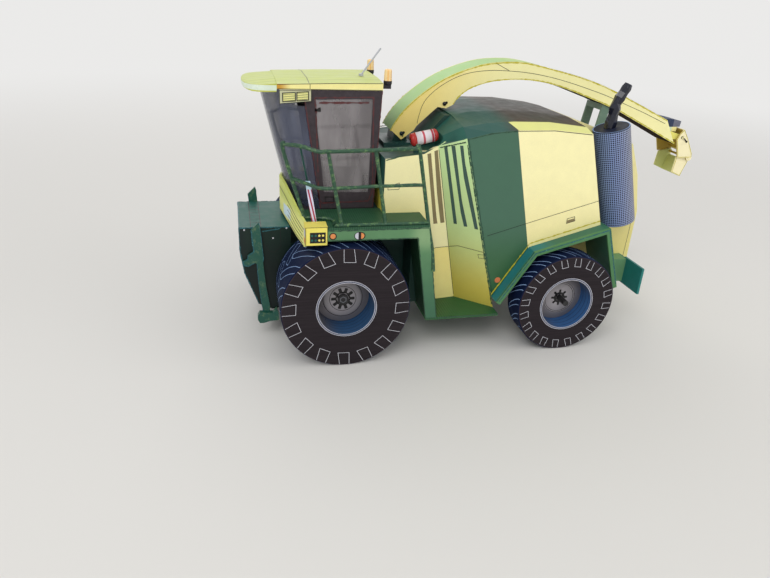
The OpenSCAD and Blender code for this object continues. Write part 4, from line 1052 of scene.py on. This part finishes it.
dress(cardMaterial("shield_mesh_print", meshPaint, mottle=0.1, fibre=0.05, specular=0.2), "exhaust_shield")
a = circle(72)[:, None]
rim = shield["top"] + (np.cos(a) * shieldAcross + np.sin(a) * [0, 1.0, 0]) * (shield["radius"] - 0.3)
draw("shield_rim_line", [ribbon(rim, shieldAxis, 0.4, lift=0.08, closed=True)], blueInk)

# crumpled bent pipe: a seven-sided tube whose radius swells and pinches from ring to ring, shaded flat
crumple = {"path": [(-130.5, 31.5, 107.2), (-130.7, 31.5, 110.6), (-131.0, 31.5, 114.0),
                    (-131.2, 31.5, 116.8), (-131.8, 31.4, 119.2), (-133.0, 31.4, 121.8),
                    (-134.2, 31.5, 124.2), (-135.2, 31.5, 126.3), (-136.0, 31.5, 128.2)],
           "radii": [2.7, 2.9, 2.4, 2.9, 2.3, 2.7, 2.2, 2.4, 1.9], "twist": 1.3}
pipeMaterial, tree, shader, mm = blankMaterial("pipe_black")
crinkle = noise(tree, mm, 0.45, 3.0)
linkAll(tree, shader.inputs, {"Base Color": mixed(tree, crinkle, ink(6, 8, 16), ink(22, 28, 50)),
                              "Roughness": calc(tree, "MULTIPLY_ADD", crinkle, 0.2, 0.03),
                              "Normal": relief(tree, 0.6, 0.0003, crinkle)})
tube = tubeMesh(crumple["path"], crumple["radii"], 7, crumple["twist"])
pipe = draw("crumpled_pipe", [tube], pipeMaterial, smooth=False)
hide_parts("exhaust_pipe")

# profiles as distance along the bottle and radius
bottleShape = {
    "place": (-33.0, 26.0, 100.7), "lean": math.radians(78.5),
    "foot": [(0.0, 1.2), (0.1, 2.3), (0.7, 2.9), (2.6, 3.0), (2.6, 0.4)],
    "head": [(11.0, 0.4), (11.0, 3.0), (12.2, 2.9), (12.9, 2.3), (13.3, 1.2)],
    "label": [(2.55, 0.5), (2.55, 2.97), (11.05, 2.97), (11.05, 0.5)],
    "saddle": [(-35.0, 93.7), (-38.0, 94.6), (-38.0, 98.6), (-35.0, 98.0)], "saddleY": (24.6, 27.4),
    "saddleFaces": [(0, 1, 2, 3), (7, 6, 5, 4), (0, 4, 5, 1), (1, 5, 6, 2), (2, 6, 7, 3), (3, 7, 4, 0)]}
bottleAxis = (-math.sin(bottleShape["lean"]), 0.0, math.cos(bottleShape["lean"]))


def labelPaint(tree, mm):  # rings at equal steps along the bottle
    local = vectorCalc(tree, "SUBTRACT", mm, bottleShape["place"])
    rings = stripes(tree, vectorCalc(tree, "DOT_PRODUCT", local, bottleAxis), 4.1, 0.24, 0.06)
    return mixed(tree, rings, ink(222, 214, 218), ink(188, 70, 84))


bottleRed = cardMaterial("bottle_red", ink(172, 44, 40), mottle=0.3, gloss=0.25)
bottleLabel = cardMaterial("bottle_label", labelPaint, mottle=0.15, gloss=0.3)
ends = [lathe(bottleShape["place"], bottleAxis, bottleShape[key], 32) for key in ("foot", "head")]
bottle = draw("bottle_ends", ends, bottleRed)
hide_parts("extinguisher")
wrap = lathe(bottleShape["place"], bottleAxis, bottleShape["label"], 40)
draw("bottle_label_wrap", [wrap], bottleLabel)
standDark = brushMaterial("stand_dark_teal", ink(24, 62, 58), ink(66, 112, 98), 0.5, 0.7)
block = [(x, y, z) for y in bottleShape["saddleY"] for x, z in bottleShape["saddle"]]
draw("bottle_saddle", [(block, bottleShape["saddleFaces"])], standDark, smooth=False)
dress(standDark, "spout_turret")
dress(brushMaterial("stand_grey_green", ink(92, 120, 106), ink(128, 150, 132), 0.5, 0.7), "spout_rack")
print("exhaust and bottle dressed")

# Spout and end flaps

# a pin head is its place from the pin's as x and z, its profile as height and radius, and its sides
spout = {
    "half": 9.0, "pinY": 8.9, "rim": ink(232, 224, 116), "pins": ((-33.0, 100.2), (-53.5, 114.5)),
    "pinHeads": ((0, 0, [(0, 0.9), (0.5, 1.0), (0.8, 0.7), (0.9, 0.2)], 18),
                 (-1.0, 0.5, [(0, 0.5), (0.45, 0.6), (0.6, 0.2)], 14)),
    "top": [(-27.6, 101.8), (-28.4, 103.6), (-31.6, 108.6), (-35.6, 113.2), (-40.1, 117.3), (-48.6, 123.6),
            (-57.9, 128.4), (-69.6, 132.4), (-79, 134), (-89.8, 134.4), (-98, 133.5), (-106.1, 131.9),
            (-118, 129.4), (-130, 126.4), (-147, 120.5), (-178, 107.4)],
    "below": [(-185.4, 94.8), (-149.5, 111.2), (-127.6, 118.9), (-117, 122.2), (-105.8, 124.9), (-97, 126),
              (-88.5, 126.2), (-78.3, 125.3), (-70.7, 123.5), (-64.7, 120.9), (-60.1, 117.3), (-57.9, 114)],
    "inner": [(-40.5, 104.9), (-41.2, 109.0), (-43.4, 115.3), (-48.8, 121.0), (-56.4, 125.8), (-64.5, 128.8),
              (-74.5, 130.2), (-84.8, 130.2), (-95.3, 129.5), (-106.2, 127.9), (-117.4, 125.5),
              (-130.2, 122.1), (-140, 119.2), (-150.8, 115.4), (-163.5, 110.9), (-177, 105.6)],
    "shortLines": [(0.22, 0, 0, [(-77.6, 133.6), (-84.8, 130.4)]),
                   (0.3, 0, 0, [(-33.6, 98.4), (-33.8, 99.2)])]}
spoutTop = np.vstack([spout["top"][:1], smoothPath(spout["top"][1:], 2)])
spoutBelow = smoothPath(spout["below"], 2)


def coverSheet(line, half, lift=0.08):
    # a sheet across the spout: the outline in side view shifted outwards by lift, carried from side to side
    slope = unit(np.gradient(line, axis=0))
    x, z = (line + np.stack([slope[:, 1], -slope[:, 0]], 1) * lift).T[:, :, None]
    return np.stack(np.broadcast_arrays(x, np.linspace(-half, half, 5), z), -1), gridFaces(len(line), 5)


spoutSide = layers(ink(246, 240, 176), ("x", -60.0, 60.0, ink(242, 218, 128)))
spoutPaint = layers(spout["rim"], ("away", 8.8, 0.1, spoutSide))
spoutTopPaint = layers(ink(226, 226, 130), ("x", -100.0, 50.0, ink(168, 206, 132)),
                       ("away", 8.2, 0.4, spout["rim"]))
# the dark sheet under the spout is painted shade on its underside
spoutShadeCard = cardMaterial("spout_painted_shade_card", ink(40, 30, 24), mottle=0.4, gloss=0.9, specular=0.03)
dress(cardMaterial("spout_card", spoutPaint, mottle=0.1), "spout")
draw("spout_top_sheet", [coverSheet(spoutTop, 8.95)], cardMaterial("spout_top_card", spoutTopPaint), "spout")
draw("spout_painted_shade_sheet", [coverSheet(spoutBelow, 8.3)], spoutShadeCard, "spout")
for side, hand in hands:
    half = spout["half"]
    lines = [onSide(smoothPath(spout["inner"], 4), half, 0.22, side)]
    draw("spout_lines_" + hand, lines + sideLines(spout["shortLines"], half, side), blackInk, "spout")
    edges = [onSide(spoutTop + [0.1, -0.35], half, 0.5, side, 0.6, 51),
             onSide(spoutBelow + [-0.1, 0.35], half, 0.5, side, 0.6, 52)]
    draw("spout_edges_" + hand, edges, yellowEdge, "spout")
    pins = [lathe((x + ahead, side * spout["pinY"], z + up), (0, side, 0), profile, sides)
            for x, z in spout["pins"] for ahead, up, profile, sides in spout["pinHeads"]]
    draw("spout_pins_" + hand, pins, hubBlack, "spout")

lampCap = layers(ink(104, 106, 122), ("x", -184.4, 0.3, ink(42, 54, 84)))
lampPaint = layers(ink(242, 230, 156), ("x", -184.0, 0.2, ink(214, 230, 200)), ("z", 103.35, 0.1, lampCap))
dress(cardMaterial("spout_lamp_card", lampPaint, mottle=0.2), "spout_lamp")

flap = {"upperHalf": 9.6, "lowerHalf": 8.4, "back": ink(240, 230, 160), "side": ink(250, 240, 196),
        "upper": [(-186.4, 97.2), (-187.6, 100), (-189.5, 102.3), (-192.8, 97.5), (-196.9, 90.2),
                  (-197.6, 87.8), (-189.4, 87.7)],
        "lower": [(-189.6, 87.0), (-188.8, 79.3), (-194.1, 77.1), (-197.2, 86.4)],
        "skirt": [(-197.2, -9.6, 90.3), (-197.2, 9.6, 90.3), (-197.6, 9.6, 88.8), (-197.6, -9.6, 88.8)],
        "wire": [(-189.2, 9.95, 98.4), (-190.6, 9.9, 97.6), (-192.2, 9.9, 96.2)], "wireRadius": 0.28,
        "studs": ((-189.2, 98.4, 0.7, 0.3), (-192.2, 96.2, 0.55, 0.2)), "studY": 9.5}


def flapPaint(half, low, high, inner):
    # the two sides and the back are cream outside, the back lies behind the line from low to high
    outside = layers(inner, ("line", (low, high), 0.1, flap["back"]))
    return layers(outside, ("away", half - 0.25, 0.1, flap["side"]))


upperPaint = flapPaint(flap["upperHalf"], (-196.9, 90.0), (-189.1, 102.4), ink(176, 152, 70))
lowerPaint = flapPaint(flap["lowerHalf"], (-193.9, 76.8), (-196.8, 85.4), ink(190, 196, 128))
dress(cardMaterial("flap_upper_card", upperPaint, mottle=0.15), "flap_upper")
dress(cardMaterial("flap_lower_card", lowerPaint, mottle=0.15), "flap_lower")
skirtCard = cardMaterial("flap_skirt_card", ink(236, 226, 170), mottle=0.2)
draw("flap_skirt", [patch(flap["skirt"], (-1, 0, 0), lift=0.1)], skirtCard, "flap_upper")
for side, hand in hands:
    up = onSide(flap["upper"], flap["upperHalf"], 0.3, side, 0.3, 55, closed=True)
    draw("flap_upper_lines_" + hand, [up], yellowEdge, "flap_upper")
    wires = [tubeMesh(np.array(flap["wire"]) * [1, side, 1], flap["wireRadius"], 8)]
    wires += [lathe((x, side * flap["studY"], z), (0, side, 0), [(0, wide), (0.5, wide), (0.7, tip)], 14)
              for x, z, wide, tip in flap["studs"]]
    draw("flap_wires_" + hand, wires, hubBlack, "flap_upper")
    down = onSide(flap["lower"], flap["lowerHalf"], 0.3, side, 0.3, 56)
    draw("flap_lower_lines_" + hand, [down], yellowEdge, "flap_lower")
mudPaint = layers(ink(32, 118, 114), ("x", -156.35, 0.1, ink(104, 150, 108)))
dress(cardMaterial("mud_flap_card", mudPaint, mottle=0.25), "mud_flap_")
print("spout and flaps dressed")

# Floor, light and camera

# the floor's shading fades into the horizon's at the first blend number, over the second; each lamp is
# its place, size and power
studio = {"floor": ink(222, 220, 216), "horizon": (0.83, 0.825, 0.815, 1), "world": 0.62,
          "blend": (0.675, 0.85), "radii": (0.0, 0.05, 0.2, 0.5, 1.0, 2.0, 5.0), "aim": (0, 0, 0.05),
          "lamps": {"key": ((0.45, 0.75, 0.85), 0.7, 5.0), "fill": ((-0.8, 0.5, 0.5), 0.8, 2.2),
                    "back": ((0.1, -0.9, 0.7), 0.8, 2.0)}}
radii, a = np.array(studio["radii"])[:, None], circle(64)
disc = np.stack([radii * np.cos(a), radii * np.sin(a), np.zeros((len(radii), 64))], -1).reshape(-1, 3)
mesh = bpy.data.meshes.new("floor")
mesh.from_pydata(disc.tolist(), [], gridFaces(len(radii), 64, closeColumns=True).tolist())
floor = bpy.data.objects.new("floor", mesh)
scene.collection.objects.link(floor)
floorMaterial = bpy.data.materials.new("studio_floor")
floorMaterial.use_nodes = True
tree = floorMaterial.node_tree
shader = tree.nodes["Principled BSDF"]
shader.inputs["Base Color"].default_value = studio["floor"]
shader.inputs["Roughness"].default_value = 0.7
reach = vectorCalc(tree, "LENGTH", addNode(tree, "TexCoord").outputs["Object"])
glow = addNode(tree, "Emission", {"Color": studio["horizon"], "Strength": 1.0}).outputs[0]
fade = {0: rampUp(tree, reach, *studio["blend"]), 1: shader.outputs[0], 2: glow}
fade = addNode(tree, "MixShader", fade).outputs[0]
linkAll(tree, tree.nodes["Material Output"].inputs, {"Surface": fade})
mesh.materials.append(floorMaterial)
floor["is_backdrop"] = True

world = bpy.data.worlds.new("studio")
scene.world = world
world.use_nodes = True
tree = world.node_tree
back = tree.nodes["Background"]
back.inputs["Color"].default_value = (1, 1, 1, 1)
back.inputs["Strength"].default_value = studio["world"]
seen = addNode(tree, "Background", {"Color": studio["horizon"], "Strength": 1.0}).outputs[0]
rays = addNode(tree, "LightPath").outputs
mirrored = calc(tree, "MAXIMUM", rays["Is Glossy Ray"], rays["Is Transmission Ray"])
either = calc(tree, "MAXIMUM", rays["Is Camera Ray"], mirrored)
sky = addNode(tree, "MixShader", {0: either, 1: back.outputs[0], 2: seen}).outputs[0]
linkAll(tree, tree.nodes["World Output"].inputs, {"Surface": sky})

for name, (place, size, power) in studio["lamps"].items():
    data = bpy.data.lights.new(name, "AREA")
    data.size, data.energy = size, power
    lamp = bpy.data.objects.new(name, data)
    lamp.location = place
    lamp.rotation_euler = (Vector(studio["aim"]) - Vector(place)).to_track_quat("-Z", "Y").to_euler()
    scene.collection.objects.link(lamp)

# the camera stands at the photograph's place: yaw, pitch and roll of its view in degrees
view = {"place": (0.12095, 0.3093, 0.1633), "yaw": 13.86, "pitch": 25.35, "roll": 3.02, "lens": 29.62}
yaw, pitch, roll = (math.radians(view[k]) for k in ("yaw", "pitch", "roll"))
ahead = np.array([-math.sin(yaw) * math.cos(pitch), -math.cos(yaw) * math.cos(pitch), -math.sin(pitch)])
right = unit(np.cross(ahead, [0, 0, 1]))
up = np.cross(right, ahead)
turnedRight = math.cos(roll) * right + math.sin(roll) * up
turnedUp = -math.sin(roll) * right + math.cos(roll) * up
rows = zip(np.stack([turnedRight, turnedUp, -ahead], 1), view["place"])
data = bpy.data.cameras.new("camera")
data.lens, data.sensor_width, data.sensor_fit = view["lens"], 36.0, "HORIZONTAL"
data.clip_start = 0.01
camera = bpy.data.objects.new("camera", data)
camera.matrix_world = Matrix([(*row, p) for row, p in rows] + [(0, 0, 0, 1)])
scene.collection.objects.link(camera)
scene.camera = camera
scene.view_settings.view_transform = "Standard"

low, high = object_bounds()
